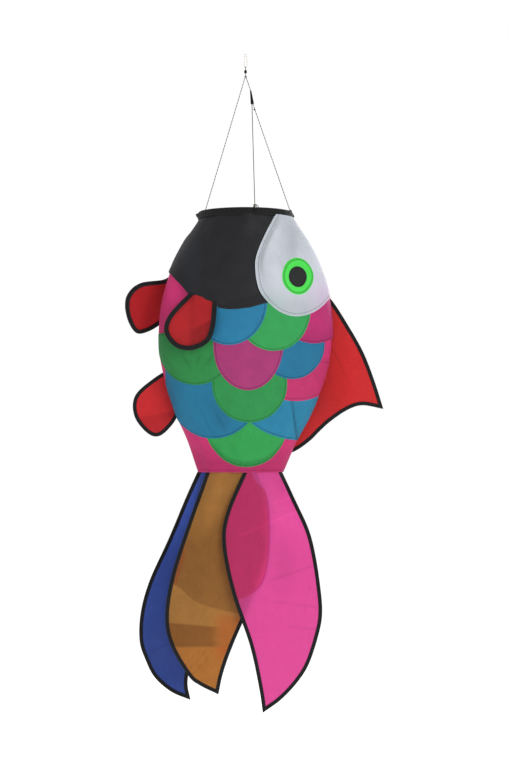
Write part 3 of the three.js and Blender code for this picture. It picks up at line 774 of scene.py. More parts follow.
barrel = [(0.62, -28.6), (0.95, -27.9), (1.5, -27.8), (1.9, -28.0), (2.15, -28.5), (2.2, -29.2),
          (2.08, -29.5), (2.2, -29.8), (2.2, -30.8), (2.08, -31.1), (2.2, -31.4), (2.15, -32.1),
          (1.9, -32.6), (1.5, -32.8), (0.95, -32.7), (0.62, -32.0)]
points, faces = lathe(barrel[::-1], 32)
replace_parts(make_piece("swivel_drum", points, faces, SWIVEL_METAL, "fish",
                       sharp=35), "swivel_barrel")
for node, centre, way, body in (("swivel_upper_eye", -25, -1, "hanger"),
                                ("swivel_lower_eye", -35.6, 1, "fish")):
    t = np.linspace(0, 2 * np.pi, 48, endpoint=False)
    ring = np.stack([0 * t, 1.8 * np.sin(t), centre + 1.8 * np.cos(t)], 1)
    p1, f1, _, _ = tube(ring, 0.5, 12, True)
    stem = [(0, 0, centre + way * 1.7), (0, 0, centre + way * 4.6)]
    p2, f2, _, _ = tube(resample(stem, 0.15), 0.55, 14, False,
                        lambda a, l: 1 + 0.22 * np.maximum(np.sin(l * 2 * np.pi / 0.75), 0))
    shift = len(p1)
    faces = f1 + [tuple(i + shift for i in f) for f in f2]
    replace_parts(make_piece(node + "_wire", np.vstack([p1, p2]), faces, SWIVEL_METAL, body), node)

# the hanging loop: thin cord up from the swivel's eye, round and back to its own knot
loop = curve([(0.9, 0.0, -23.9), (1.7, 0, -22.4), (2.5, 0, -17), (2, 0, -9), (0.9, 0, -2.4),
              (-0.4, 0, -0.5), (-1.6, 0, -2.6), (-1.9, 0, -9), (-2.2, 0, -17), (-1.5, 0, -22.4),
              (-0.7, 0, -23.9)], 90)
loop_cord, path = cord_mesh("hanging_cord", loop, LOOP_DIAMETER, 4.0, LOOP_YARN, "hanger")
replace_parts(loop_cord, "hanging_loop")
round(np.linalg.norm(np.diff(path, axis=0), axis=1).sum() * MM, 4)
yarn_piece("hanging_knot", [(knot_path((0, 0, -23.1), 1.15, tilt=1.2), 0.42, True)], LOOP_YARN,
           "hanger")


# ---- mouth hem: black tape folded over the hoop ----
def mouth_hem():
    count = 220
    fold = np.linspace(0, np.pi, 9)
    outer = [(3.5, -7.9), (3.6, -5.5), (3.5, -2.5)]
    outer += [(3.5 * math.cos(a), 1 + 3.5 * math.sin(a)) for a in fold]
    inner = [(2.75 * math.cos(a), 1 + 2.75 * math.sin(a)) for a in fold[::-1]]
    profile = np.array(outer + [(-3.5, -4), (-3.4, -9.2), (-2.7, -9.2), (-2.75, -4)] + inner
                       + [(2.75, -2.5), (2.8, -7.9)])
    turns = np.arange(count) * 2 * np.pi / count
    size = len(profile)
    a, r, z = turns[:, None], profile[None, :, 0], profile[None, :, 1]
    low = np.clip((1 - z) / 9, 0, 1)
    gather = 0.28 * np.sin(38 * a + 2 * np.sin(5 * a)) + 0.2 * np.sin(61 * a + 1)
    radius = HOOP_RADIUS + r + np.sign(r) * gather * (0.3 + 0.9 * low) * 0.6
    drop_edge = (0.5 * np.sin(7 * a) + 0.35 * np.sin(17 * a + 2)) * low**3
    # the tape's ends are pinched together at the belly, and a tuck of it stands out at the back
    turned = np.abs(np.angle(np.exp(1j * (a - np.pi))))
    tab = 5.5 * ridge(turned, 0.045) * ridge(z + 0.5, 2.6)
    tab = tab + 2.6 * ridge(np.pi - turned, 0.05) * ridge(z + 2.5, 3)
    radius = radius + np.where(r > 2.9, tab, 0)
    points = np.stack([radius * np.cos(a), radius * np.sin(a),
                       z + drop_edge - HANG_TO_HOOP], -1).reshape(-1, 3)
    faces = []
    for k in range(count):
        p, q = k * size, ((k + 1) % count) * size
        faces += [(p + i, q + i, q + (i + 1) % size, p + (i + 1) % size) for i in range(size)]
    run = np.repeat(turns * HOOP_RADIUS, size)
    along = np.cumsum(np.r_[0, np.linalg.norm(np.diff(profile, axis=0), axis=1)])
    rim = np.tile(np.where(r[0] > 0, z[0] + 7.9, z[0] + 9.2) + 2.7, count)
    uv = np.stack([run, np.tile(along, count)], 1)
    hem = make_piece("mouth_hem_tape", points, faces, TAPE, "fish", uv=uv,
                     fields={"rim": rim, "run": run})
    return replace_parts(hem, "mouth_hem")


hem_tape = mouth_hem()
hoop = frame["nodes"]["hoop"]
hoop.data.materials.clear()
hoop.data.materials.append(HOOP_METAL)


# ---- cloth on the body ----
def body_ring(outline, off):
    """An outline in front view as a closed line on the flat pattern."""
    dense = resample(outline, 0.4, closed=True)
    dense[:, 1] = np.clip(dense[:, 1], BODY_TOP, BODY_BOTTOM)
    turn = turn_at(dense[:, 0], dense[:, 1], off)
    flat = np.stack([turn * AROUND, dense[:, 1]], 1)
    kept = [0]
    for k in range(1, len(flat)):
        corner = 0 < k < len(flat) - 1 and (
            (turn[k] in (0.0, np.pi)) != (turn[k - 1] in (0.0, np.pi)))
        if np.linalg.norm(flat[k] - flat[kept[-1]]) > 2.6 or corner:
            if np.linalg.norm(flat[k] - flat[kept[-1]]) > 0.3:
                kept.append(k)
    if np.linalg.norm(flat[kept[-1]] - flat[0]) < 1.2:
        kept.pop()
    return flat[kept]


def free_segments(ring):
    """The segments of a ring that are cloth edges, and not the belly seam, back seam or hem."""
    starts, ends = segments(ring)
    mid = (starts + ends) / 2
    seam = (mid[:, 0] < 0.5) | (mid[:, 0] > np.pi * AROUND - 0.5)
    tops = (mid[:, 1] < BODY_TOP + 0.5)
    good = ~(seam | tops)
    return starts[good], ends[good]


def body_patch(name, side, outline, off, colour, covers=(), lip=0.0, cell=4.0, paint=None,
               nodes=(), lift=None):
    """A piece of cloth sewn on the body. covers are outlines of cloth that hides part of it, and
    lift(turn, drop) raises it further where it lies over other cloth."""
    ring = body_ring(outline, off)
    hidden = [body_ring(cover, off) for cover in covers]

    def keep(p):
        good = inside(p, ring)
        for cover in hidden:
            good &= ~inside(p, cover)
        return good

    flat, faces = triangulate([(ring, True)] + [(h, True) for h in hidden], keep, cell)
    turn, drop = np.clip(flat[:, 0] / AROUND, 0, np.pi), flat[:, 1]
    rim, run = to_line(flat, *free_segments(ring))
    raised = 0 if lift is None else lift(turn, drop)
    sunk = 0.08 * np.exp(-rim / 1.5) if lip else 0
    points = on_body(turn, drop, side, off + raised - sunk)
    if side < 0:
        faces = faces[:, ::-1]
    if lip:
        edges = open_edges(faces)
        low = on_body(turn, drop, side, off - lip)
        count = len(points)
        points = np.vstack([points, low])
        quads = [(b, a, a + count, b + count) for a, b in edges]
        faces = [tuple(f) for f in faces] + quads
        flat, rim, run = np.vstack([flat, flat]), np.r_[rim, rim], np.r_[run, run]
        turn, drop = np.r_[turn, turn], np.r_[drop, drop]
        faces, points, flat, rim, run, turn, drop = used_only(
            faces, points, flat, rim, run, turn, drop)
    x = points[:, 0]
    tint = np.ones((len(points), 3)) if paint is None else paint(x, drop, rim)
    obj = make_piece(name, points, faces, CLOTHS[colour], "fish", uv=flat,
                     fields={"rim": rim, "run": run}, tint=tint, sharp=50)
    cut = unrolled(turn, drop, side)
    size = cut.max(0) - cut.min(0)
    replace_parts(obj, *nodes)
    return obj, size


# how far each layer of cloth stands outside the CAD's inner surface
BASE_LAYER = 0.3
HEAD_LAYER = 0.9
HEAD_RISE = 2.4  # the head's extra height where its edge lies over the scales
EYE_LAYER = 3.7
IRIS_LAYER = 4.2
PUPIL_LAYER = 4.6
SCALE_LAYER = 0.8  # the lowest scale's
SCALE_STEP = 0.17
TUCK_UNDER = 5  # how far a piece reaches under the one that covers it

HEAD_EDGE = [(-160, 50), (-90, 133.6), (-46.8, 149.5), (-41.3, 157.9), (-26.7, 159.8), (-13, 159.8),
             (7.5, 157.3), (29.8, 150.8)]
EYE_EDGE = np.vstack([
    curve([(61.5, -14), (49.1, 7.4), (33, 38), (20, 68), (16, 93.5), (24.2, 132.5), (52.4, 162.2),
           (86.3, 170.2), (121.5, 154.8), (147, 118), (160, 60)], 60),
    [(260, 60), (260, -60), (62, -60)]])
IRIS = (84, 105.8, 25.3, 30)
PUPIL = (83.8, 106.9, 14.6, 16.9)
SCALES = [  # topmost first: name, cloth, x, drop, half width, length, top
    ("1a", "blue", -25.7, 149, 60.3, 67.5, 122),
    ("1b", "green", 44.7, 160.6, 59.6, 65, 122),
    ("1c", "magenta", 108.4, 142.6, 64, 70, 122),
    ("2b", "magenta", 4.4, 216.3, 55.4, 71.7, 198),
    ("2a", "green", -78.5, 215.6, 63.3, 63.4, 195),
    ("2c", "blue", 74.4, 211, 54.1, 58.8, 193),
    ("3b", "green", 6.7, 278.8, 60, 60.2, 252),
    ("3c", "pink", 80.8, 226.6, 82.9, 78.2, 238),
    ("3a", "blue", -51.4, 279.4, 78.6, 85.4, 252),
    ("4b", "blue", 90.9, 271, 115.5, 97, 291),
    ("4a", "green", 1.8, 343.1, 65.6, 67.6, 333),
]


def oval(x, drop, half_width, half_height):
    t = np.linspace(0, 2 * np.pi, 60, endpoint=False)
    return np.stack([x + half_width * np.cos(t), drop + half_height * np.sin(t)], 1)


def scale_outline(x, drop, half_width, length, top, grow=0.0):
    first = math.asin(max((top - grow - drop) / (length + grow), 0))
    t = np.linspace(first, np.pi - first, 40)
    arc = np.stack([x - (half_width + grow) * np.cos(t), drop + (length + grow) * np.sin(t)], 1)
    if first > 0:
        return arc
    ends = [(x + half_width + grow, top - grow), (x - half_width - grow, top - grow)]
    return np.vstack([ends, arc])


def neutral(shade):
    return np.repeat(np.asarray(shade)[:, None], 3, 1)


def paint_eye(x, drop, rim):
    """Painted shade of the seams, above the iris and low down, painted tints of the pink and green
    cloth behind the white patch, and painted light on its right.
    """
    shade = 1 - 0.2 * blob(x, drop, 76, 58, 9, 34) - 0.1 * blob(x, drop, 62, 60, 10, 50)
    shade = shade * (1 - 0.2 * step(drop, 118, 165)) * (1 + 0.12 * step(x, 90, 122))
    shade = shade * (1 - 0.12 * blob(x, drop, 30, 110, 14, 40))
    tint = neutral(shade)
    left = ridge(rim - 8, 3.2) * (1 - step(x, 38, 66)) * (1 - step(drop, 76, 128))
    tint = tint * (1 - 0.36 * left)[:, None]
    pink = blob(x, drop, 128, 133, 24, 30)
    green = blob(x, drop, 46, 148, 22, 16)
    tint = tint * (1 - pink[:, None] * np.array([0.02, 0.2, 0.08]))
    return tint * (1 - green[:, None] * np.array([0.1, 0.0, 0.06]))


def paint_base(x, drop, rim):
    """Painted light by the back and under the head, and painted shade toward the tail end and under
    the near fin.
    """
    light = 0.1 * step(x, 95, 135) + 0.4 * blob(x, drop, -122, 112, 22, 40)
    dark = 0.2 * step(drop, 365, 405) + 0.2 * blob(x, drop, -118, 185, 30, 26)
    hem = 0.14 * ridge(drop - 404, 1.6)
    return neutral(1 + light - dark - hem) * np.array([1, 1, 1.04])


def paint_head(x, drop, rim):
    # painted sheen: a lighter, bluish patch on the left of the head
    shade = 1 + 0.25 * blob(x, drop, -85, 70, 16, 60)
    tint = neutral(shade)
    return tint * (1 + blob(x, drop, -85, 80, 18, 60)[:, None] * np.array([0.0, 0.04, 0.22]))


# each scale's dye, which on the darker scales also holds painted shade
SCALE_DYE_AND_SHADE = {
    "1c": (1.3, 0.75, 1.0), "2a": (0.78, 0.74, 0.72), "2c": (0.8, 0.84, 0.84),
    "3a": (0.76, 0.93, 0.9), "3b": (0.78, 0.8, 0.8), "3c": (0.9, 1.05, 0.96),
    "4a": (0.85, 0.96, 0.85), "4b": (0.9, 1.06, 0.98),
}


def paint_scale(name):
    """Each scale's dye, with painted shade in some dyes, in its folds, low on two scales and at the
    edges of the body.
    """
    def paint(x, drop, rim):
        shade = 1 - 0.16 * step(-x, 90, 135)
        if name == "4a":
            shade = shade * (1 - 0.22 * (1 - step(rim, 8.5, 10.5)) * step(drop, 360, 385))
        if name == "2a":
            shade = shade * (1 - 0.2 * blob(x, drop, -95, 208, 40, 20))
            for at, lean in ((-92, 0.5), (-76, -0.25), (-61, -0.7)):
                crease = ridge(x - at - lean * (drop - 245), 2.4) * ridge(drop - 240, 14)
                shade = shade * (1 - 0.2 * crease)
        if name == "3a":
            shade = shade * (1 - 0.16 * blob(x, drop, -38, 318, 26, 36))
            for at, lean in ((-44, 0.6), (-66, 0.45)):
                crease = ridge(x - at - lean * (drop - 330), 2.2) * ridge(drop - 335, 20)
                shade = shade * (1 - 0.16 * crease)
        if name == "4b":
            crease = x - 73 - 0.16 * (drop - 300)
            shade = shade * (1 - 0.5 * ridge(crease, 1.5) * step(drop, 288, 296)
                             - 0.16 * fade(crease, 7) * step(crease, -1, 1))
        if name == "1c":
            shade = shade * (1 - 0.16 * step(drop, 180, 208))
        return neutral(shade) * np.array(SCALE_DYE_AND_SHADE.get(name, (1, 1, 1)))
    return paint


def make_side(label, side):
    head_outline = np.vstack([[(-200, -20)], HEAD_EDGE, [(60, 145), (100, 145), (100, -20)]])
    covers_eye = inset(EYE_EDGE, 6.5)
    head_flat = body_ring([(-160, -20), *HEAD_EDGE, (60, 145), (100, 145), (100, -20)], HEAD_LAYER)
    edge = head_flat[(head_flat[:, 1] > 40) & (head_flat[:, 0] < 1.9 * AROUND)]

    def over_scales(turn, drop):
        far, _ = to_line(np.stack([turn * AROUND, drop], 1), *segments(edge, closed=False))
        return HEAD_RISE * step(far, 18, 2)

    head, size = body_patch(f"head_{label}_cloth", side, head_outline, HEAD_LAYER, "black",
                            [covers_eye], lip=0.8, paint=paint_head,
                            nodes=[f"head_{label}"], lift=over_scales)
    sheets = [(head, size, "hoop", [hem_tape] if side < 0 else [])]
    under_head = [(-200, 44)] + [(x, drop - TUCK_UNDER) for x, drop in HEAD_EDGE]
    cut = np.vstack([[(-200, -20)], under_head, [(60, 140), (60, -20)]])
    base_outline = [(-200, -20), (200, -20), (200, 450), (-200, 450)]
    base, size = body_patch(f"body_{label}_cloth", side, base_outline, BASE_LAYER, "pink",
                            [cut, covers_eye], paint=paint_base,
                            nodes=[f"body_{label}"])
    sheets.append((base, size, head.name, []))

    beneath = head.name
    for part, outline, off, colour, slot, lip, cell, paint in (
            ("eye_patch", EYE_EDGE, EYE_LAYER, "white", "white_cloth", 3.5, 3.5, paint_eye),
            ("iris", oval(*IRIS), IRIS_LAYER, "iris", "iris_cloth", 0.8, 2.5, None),
            ("pupil", oval(*PUPIL), PUPIL_LAYER, "pupil", "black_cloth", 0.6, 2.0, None)):
        patch, size = body_patch(f"{part}_{label}_cloth", side, outline, off, colour,
                                 lip=lip, cell=cell, paint=paint, nodes=[f"{part}_{label}"])
        sheets.append((patch, size, beneath, []))
        beneath = patch.name

    for rank, (name, colour, *shape) in enumerate(SCALES):
        off = SCALE_LAYER + SCALE_STEP * (len(SCALES) - 1 - rank)
        covers = [scale_outline(*other[2:], grow=-TUCK_UNDER) for other in SCALES[:rank]]
        covers = [c for c in covers if overlap(c, scale_outline(*shape))]
        covers.append(inset(EYE_EDGE, TUCK_UNDER))
        covers.append(np.vstack([[(-200, -20), (-200, 40)], np.array(HEAD_EDGE) - (0, TUCK_UNDER),
                                 [(60, 140), (60, -20)]]))
        scale, size = body_patch(f"scale_{label}_{name}_cloth", side, scale_outline(*shape), off,
                                 colour, covers, lip=off - 0.35, cell=3.6,
                                 paint=paint_scale(name), nodes=[f"scale_{label}_{name}"])
        sheets.append((scale, size, base.name, []))
    for obj, size, rests_on, extra in sheets:
        declare_sheet(obj, size, extra)


def overlap(a, b):
    return inside(a, b).any() or inside(b, a).any()


make_side("left", -1)
make_side("right", 1)


# ---- fins and petals ----
def bound_sheet(name, outline, place, body, colour, keep_in=None, lines=(), cell=4.0,
                paint=None, blend=None, nodes=(), tape_width=6.0, thin=None, panel_lines=()):
    """A cloth panel with black tape folded round its edge. place(x, drop) is its depth, y."""
    outline = resample(outline, 3.0, closed=True)

    def world(flat):
        x, drop = flat.T
        return np.stack([x, place(x, drop), -HANG_TO_HOOP - drop], 1)

    def facing(flat):
        e = 0.5
        dx = (place(flat[:, 0] + e, flat[:, 1]) - place(flat[:, 0] - e, flat[:, 1])) / (2 * e)
        dd = (place(flat[:, 0], flat[:, 1] + e) - place(flat[:, 0], flat[:, 1] - e)) / (2 * e)
        normal = np.stack([dx, -np.ones(len(flat)), -dd], 1)
        return normal / np.linalg.norm(normal, axis=1)[:, None]

    def allowed(p):
        return np.ones(len(p), bool) if keep_in is None else keep_in(p)

    edge_starts, edge_ends = segments(outline)

    # the panel reaches under the tape, and only just under a thin one
    under = resample(inset(outline, tape_width - (3.5 if thin is None else 0.8)), 3.0, closed=True)

    def in_panel(p):
        return inside(p, under) & allowed(p)

    flat, faces = triangulate(
        [(under, True)] + [(np.array(l, float), False) for l in [*lines, *panel_lines]],
        in_panel, cell)
    rim, run = to_line(flat, edge_starts, edge_ends)
    points = world(flat)
    tint = np.ones((len(flat), 3)) if paint is None else paint(flat[:, 0], flat[:, 1], rim)
    # its cut edge is hidden in the tape, so it has no hem of its own
    panel = make_piece(f"{name}_cloth", points, faces[:, ::-1], CLOTHS[colour],
                       None if blend else body, uv=flat,
                       fields={"rim": rim + 20, "run": run}, tint=tint)
    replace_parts(panel, nodes[0])

    # the tape: one face each side, joined round the fold and at its ends
    depths = (0.4, 1.3, 3.2, tape_width - 0.9, tape_width)
    rings = [(outline, True)] + [(resample(inset(outline, d), 3.0, closed=True), True)
                                 for d in depths]

    def in_tape(p):
        far, _ = to_line(p, edge_starts, edge_ends)
        return inside(p, outline) & ~inside(p, rings[-1][0]) & (far < tape_width + 1) & allowed(p)

    flat, faces = triangulate(rings + [(np.array(l, float), False) for l in lines], in_tape, 2.4)
    rim, run = to_line(flat, edge_starts, edge_ends)
    near = np.clip(rim / 1.3, 0, 1)
    inner = step(rim, tape_width - 1.4, tape_width)
    half = 1.15 * np.sqrt(1 - (1 - near) ** 2) * (1 - 0.55 * inner)
    half = np.where(rim < 1e-3, 0, np.maximum(half, 0.25))
    half = half * (1 + 0.12 * np.sin(run / 3.1))
    if thin is not None:
        half = half * thin(flat[:, 0], flat[:, 1])
    middle, normal = world(flat), facing(flat)
    count = len(flat)
    twin = np.where(rim < 1e-3, np.arange(count), np.arange(count) + count)
    points = np.vstack([middle + half[:, None] * normal, middle - half[:, None] * normal])
    quads = [(b, a, twin[a], twin[b]) for a, b in open_edges(faces[:, ::-1])
             if twin[a] != a or twin[b] != b]
    quads = [tuple(dict.fromkeys(q)) for q in quads]
    everything = ([tuple(f) for f in faces[:, ::-1]] + [tuple(twin[f]) for f in faces]
                  + [q for q in quads if len(q) > 2])
    everything, points, flat, rim, run = used_only(
        everything, points, np.vstack([flat, flat]), np.r_[rim, rim], np.r_[run, run])
    binding = make_piece(f"{name}_tape", points, everything, TAPE, None if blend else body,
                         uv=flat, fields={"rim": rim, "run": run}, sharp=60)
    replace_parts(binding, nodes[1])
    if blend:
        for obj in (panel, binding):
            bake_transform(obj)
    declare_sheet(panel, flat_size(laid_flat(points)), [binding])
    return panel, binding


def pair(name):
    return [name, name + "_binding"]


# the back fin stands in the middle plane, sewn into the back seam
DORSAL = np.vstack([
    curve([(100, 95), (139, 137), (168, 181), (192, 224), (210.5, 272), (225, 317)], 30),
    curve([(225, 317), (191, 311), (167, 318), (140, 336), (122, 352), (106, 368), (82, 385),
           (50, 397)], 30)[1:],
])


def back_edge(drop, inwards=2.0):
    return smooth(MIDDLE, drop) + smooth(HALF_WIDTH, drop) - inwards


def belly_edge(drop, inwards=2.0):
    return smooth(MIDDLE, drop) - smooth(HALF_WIDTH, drop) + inwards


drops = np.linspace(80, 405, 110)
BACK_LINE = np.stack([back_edge(drops), drops], 1)
BELLY_LINE = np.stack([belly_edge(drops), drops], 1)


def place_dorsal(x, drop):
    out = np.clip((x - back_edge(drop)) / 60, 0, 1)
    return out * (4 * np.sin(drop / 34 + x / 60) + 2 * np.sin(x / 17 - drop / 55))


def paint_dorsal(x, drop, rim):
    # painted shade at the root, in a fold and in one patch, and painted light in another
    root = fade(x - back_edge(drop), 9)
    fold = ridge(x - 152 - 0.5 * (drop - 240), 1.8) * blob(x, drop, 152, 240, 30, 34)
    shade = 1 - 0.22 * root - 0.14 * blob(x, drop, 130, 290, 25, 50) - 0.25 * fold
    return neutral(shade + 0.06 * blob(x, drop, 185, 250, 30, 60)) * np.array([0.97, 0.9, 0.82])


bound_sheet("dorsal_fin", DORSAL, place_dorsal, "dorsal_fin", "red",
            keep_in=lambda p: p[:, 0] > back_edge(p[:, 1]), lines=[BACK_LINE],
            paint=paint_dorsal, nodes=pair("dorsal_fin"),
            blend=("fish", "dorsal_fin", (0.132, 0, -0.404), (0.152, 0, -0.3993)))

ANAL = curve([(-70, 245), (-118, 250), (-155, 271), (-181, 297), (-181, 329), (-160, 356),
              (-140, 361), (-118, 341), (-95, 305), (-60, 300)], 60)


def place_anal(x, drop):
    out = np.clip((belly_edge(drop) - x) / 35, 0, 1)
    return out * (3 * np.sin(drop / 22 + x / 30))


def paint_anal(x, drop, rim):
    # painted shade at the fin's root and over its lower part
    return neutral(1 - 0.2 * fade(belly_edge(drop) - x, 9)
                   - 0.2 * step(drop + 0.2 * x, 293, 300))


bound_sheet("anal_fin", ANAL, place_anal, "anal_fin", "red",
            keep_in=lambda p: p[:, 0] < belly_edge(p[:, 1]), lines=[BELLY_LINE],
            paint=paint_anal, nodes=pair("anal_fin"),
            blend=("fish", "anal_fin", (-0.131, 0, -0.5262), (-0.143, 0, -0.5226)))


def normal_of_body(turn, drop, side):
    e = 0.01
    across = plain_body(turn + e, drop, side) - plain_body(turn - e, drop, side)
    down = plain_body(turn, drop + 1, side) - plain_body(turn, drop - 1, side)
    normal = np.cross(down, across) * -side
    return normal / np.linalg.norm(normal)


def plain_body(turn, drop, side):
    return np.array([smooth(MIDDLE, drop) - smooth(HALF_WIDTH, drop) * np.cos(turn),
                     side * smooth(HALF_DEPTH, drop) * np.sin(turn), -HANG_TO_HOOP - drop])


def pectoral_plane(turn, drop, side, off, flare):
    """Depth of a point of the plane in which a pectoral fin hangs."""
    flat = normal_of_body(turn, drop, side)
    flat = flat * (1, 1, 0)
    flat = flat / np.linalg.norm(flat)
    point = plain_body(turn, drop, side) + off * flat
    normal = flat.copy()
    normal[2] = flare
    normal = normal / np.linalg.norm(normal)

    def depth(x, drop_at):
        z = -HANG_TO_HOOP - drop_at
        return point[1] - (normal[0] * (x - point[0]) + normal[2] * (z - point[2])) / normal[1]
    return depth


def body_depth(x, drop, side, off):
    turn = turn_at(x, drop, off)
    return side * (smooth(HALF_DEPTH, drop) + off) * np.sin(turn)


NEAR = curve([(-63.6, 102), (-90.7, 134), (-122.7, 168), (-129.5, 194.5), (-113, 218),
              (-86.8, 224.6), (-59.7, 214), (-48, 189.5), (-44.2, 149), (-40.3, 122)], 60)
NEAR_SEAM = np.array([(-160, 50), (-90, 133.6), (-46.8, 149.5), (-41.3, 157.9), (-26.7, 159.8)])
near_plane = pectoral_plane(1.0, 142, -1, 7.5, 0.02)


def below_seam(x, seam):
    return np.interp(x, seam[:, 0], seam[:, 1])


def place_near(x, drop):
    gone = drop - below_seam(x, NEAR_SEAM)
    free = step(gone, -2, 26)
    flat = near_plane(x, drop) - 3 * np.sin((x + 90) / 18) * step(gone, 10, 60)
    return (1 - free) * body_depth(x, drop, -1, 3.3) + free * flat


def paint_near(x, drop, rim):
    # painted light over the fin and in one patch; painted shade in a crease, along its edge and low
    # by the body
    low = step(drop + 0.5 * x, 148, 152)
    return neutral(1.08 - 0.1 * ridge(x + 84, 5) - 0.22 * (1 - step(rim, 6, 16))
                   - 0.34 * low * step(x, -95, -70) + 0.05 * blob(x, drop, -100, 185, 20, 20))


bound_sheet("pectoral_fin_left", NEAR, place_near, "pectoral_left", "red",
            keep_in=lambda p: p[:, 1] > below_seam(p[:, 0], NEAR_SEAM) - 1.5,
            lines=[resample(NEAR_SEAM - (0, 1.5), 3)], cell=3.2, paint=paint_near,
            nodes=pair("pectoral_fin_left"), tape_width=7.5)

FAR = curve([(-90, 78), (-129, 102), (-172, 113), (-193, 136), (-193, 167), (-180, 192),
             (-161, 189.5), (-138, 174), (-112, 150), (-80, 126)], 60)
FAR_SEAM = np.array([(-150, 40), (-121, 97), (-97, 127), (-75, 165), (-60, 190)])
far_plane = pectoral_plane(0.56, 112, 1, 6, 0.3)


def place_far(x, drop):
    gone = np.interp(drop, FAR_SEAM[:, 1], FAR_SEAM[:, 0]) - x
    free = step(gone, -2, 24)
    return ((1 - free) * body_depth(x, drop, 1, 1.6)
            + free * (far_plane(x, drop) + 3 * np.sin(drop / 18) * step(gone, 10, 50)))


def paint_far(x, drop, rim):
    # painted shade over the whole fin, darker still toward the body
    return neutral(0.86 - 0.18 * step(x, -150, -125))


bound_sheet("pectoral_fin_right", FAR, place_far, "pectoral_right", "red",
            keep_in=lambda p: p[:, 0] < np.interp(p[:, 1], FAR_SEAM[:, 1], FAR_SEAM[:, 0]) + 1.5,
            lines=[resample(FAR_SEAM + (1.5, 0), 3)], cell=3.2, paint=paint_far,
            nodes=pair("pectoral_fin_right"), tape_width=6.5)

PETALS = {
    "pink": ([(2, 409), (-4, 421), (-30, 482), (-37, 532), (-21.5, 611), (7, 695), (22, 764),
              (28, 804)],
             [(54, 409), (60.5, 421), (82, 467), (102, 511), (112.5, 552), (119.5, 598), (123, 640),
              (118.5, 673), (103, 722), (84.5, 753), (58, 782), (28, 804)]),
    "orange": ([(-61, 409), (-64, 421), (-93, 503), (-119, 585), (-129, 651), (-120, 697),
                (-92, 746), (-73, 762), (-43.5, 777)],
               [(12, 409), (18, 421), (38, 474), (36, 548), (12, 622), (-19.6, 696), (-35.5, 741),
                (-43.5, 777)]),
    "blue": ([(-73, 409), (-79, 421), (-100, 467), (-128, 533), (-157.5, 598), (-172, 650),
              (-174, 697), (-164, 730), (-150, 757), (-123, 780), (-90.5, 795)],
             [(-43, 409), (-38, 421), (-25, 480), (-28, 560), (-55, 645), (-84, 715), (-95, 762),
              (-90.5, 795)]),
}
TUCK = 414.0  # the petals' top edges, sewn just inside the body's tail end


def rim_depth(x, side, off):
    """The depth of the tail end's rim, eased to nothing where a petal is wider than the rim."""
    ratio = (x - smooth(MIDDLE, 420)) / (smooth(HALF_WIDTH, 420) + off)
    eased = 0.06 * np.logaddexp(0, (1 - ratio**2) / 0.06)
    return side * (smooth(HALF_DEPTH, 420) + off) * np.sqrt(eased)


def below(a, b):
    """The lower of two values, rounded where they cross."""
    soft = 2.5
    return -soft * np.logaddexp(-a / soft, -b / soft)


def hang_pink(x, drop):
    sway = (6 * np.sin(drop / 62 + 0.5) + 4 * np.sin(x / 26 + drop / 90)
            + 1.2 * np.sin(drop / 19 - x / 40))
    return below(-44 + sway * step(drop, 430, 560), hang_orange(x, drop) - 5)


def hang_orange(x, drop):
    fold = (3.6 * crest(drop - 664 - 0.1 * (x + 90), 22)
            - 3.4 * crest(drop - 699 - 0.02 * (x + 90), 18))
    fold = fold + 2.2 * crest(drop - 626 - 0.4 * (x + 82), 22)
    fold = fold + 1.6 * crest(drop - 735 + 1.1 * (x + 80), 14) * step(drop, 705, 720)
    sway = 4 * np.sin(drop / 70 + 2.2) + 3 * np.sin(x / 22 - drop / 80) + fold
    return -31 + sway * step(drop, 430, 540)


def hang_blue(x, drop):
    sway = (6 * np.sin(drop / 64 + 1) + 4 * np.sin(x / 21 + drop / 75)
            + 1.5 * np.sin(drop / 17 + x / 33))
    return 33 + sway * step(drop, 430, 560)


def sewn_in(hang, side, off, free_by):
    """A petal's depth: it follows the tail end's rim at the top and hangs free lower down."""
    def place(x, drop):
        free = step(drop, 418, free_by)
        return (1 - free) * rim_depth(x, side, off) + free * hang(x, drop)
    return place


def thin_top(x, drop):
    """The tape is thinner where it goes in under the body's edge."""
    return 0.4 + 0.6 * step(drop, 419, 460)


# edge of the painted shade on the pink petal, as of petals behind it: across it, then round its
# bottom
PINK_SHADE_EDGE = curve([(6, 414), (20, 437), (32, 449), (38, 480), (39.5, 520), (37, 560), (31, 588),
                (21, 605), (6, 616), (-10, 622), (-34, 627)], 60)


def paint_pink(x, drop, rim):
    """Painted shade as of petals behind it, down to a rounded end, with painted light and shade in
    a few folds and patches.
    """
    far, _ = to_line(np.stack([x, drop], 1), *segments(PINK_SHADE_EDGE, closed=False))
    region = np.vstack([PINK_SHADE_EDGE, [(-90, 640), (-90, 400), (6, 400)]])
    signed = np.where(inside(np.stack([x, drop], 1), region), far, -far)
    behind = step(signed, -0.6, 0.6)
    line = ridge(signed - 0.6, 1.1) * step(drop, 445, 470) * (1 - step(drop, 600, 618))
    tint = 1 - behind[:, None] * np.array([0.05, 0.43, 0.41])
    tint = tint * (1 - line[:, None] * np.array([0.22, 0.2, -0.05]))
    folds = sum(amount * ridge(drop - at - lean * (x - 40), 1.7) * step(x, low, low + 15)
                for at, lean, low, amount in ((500, -0.42, -20, 0.12), (592, -0.34, 35, -0.14),
                                           (625, 0.12, 40, -0.1), (664, 0.06, 60, -0.12),
                                           (470, -0.3, 30, 0.1)))
    glow = 0.1 * blob(x, drop, 70, 480, 30, 60) - 0.12 * blob(x, drop, 62, 560, 18, 40)
    return tint * (1 + folds + glow)[:, None]


SHADE_LOW = [(-140, 590), (-107, 604), (-82, 626), (-50, 638), (-17, 645), (40, 656)]
SHADE_LEFT = [(400, -90), (470, -90), (533, -95), (560, -99), (604, -112), (640, -125)]


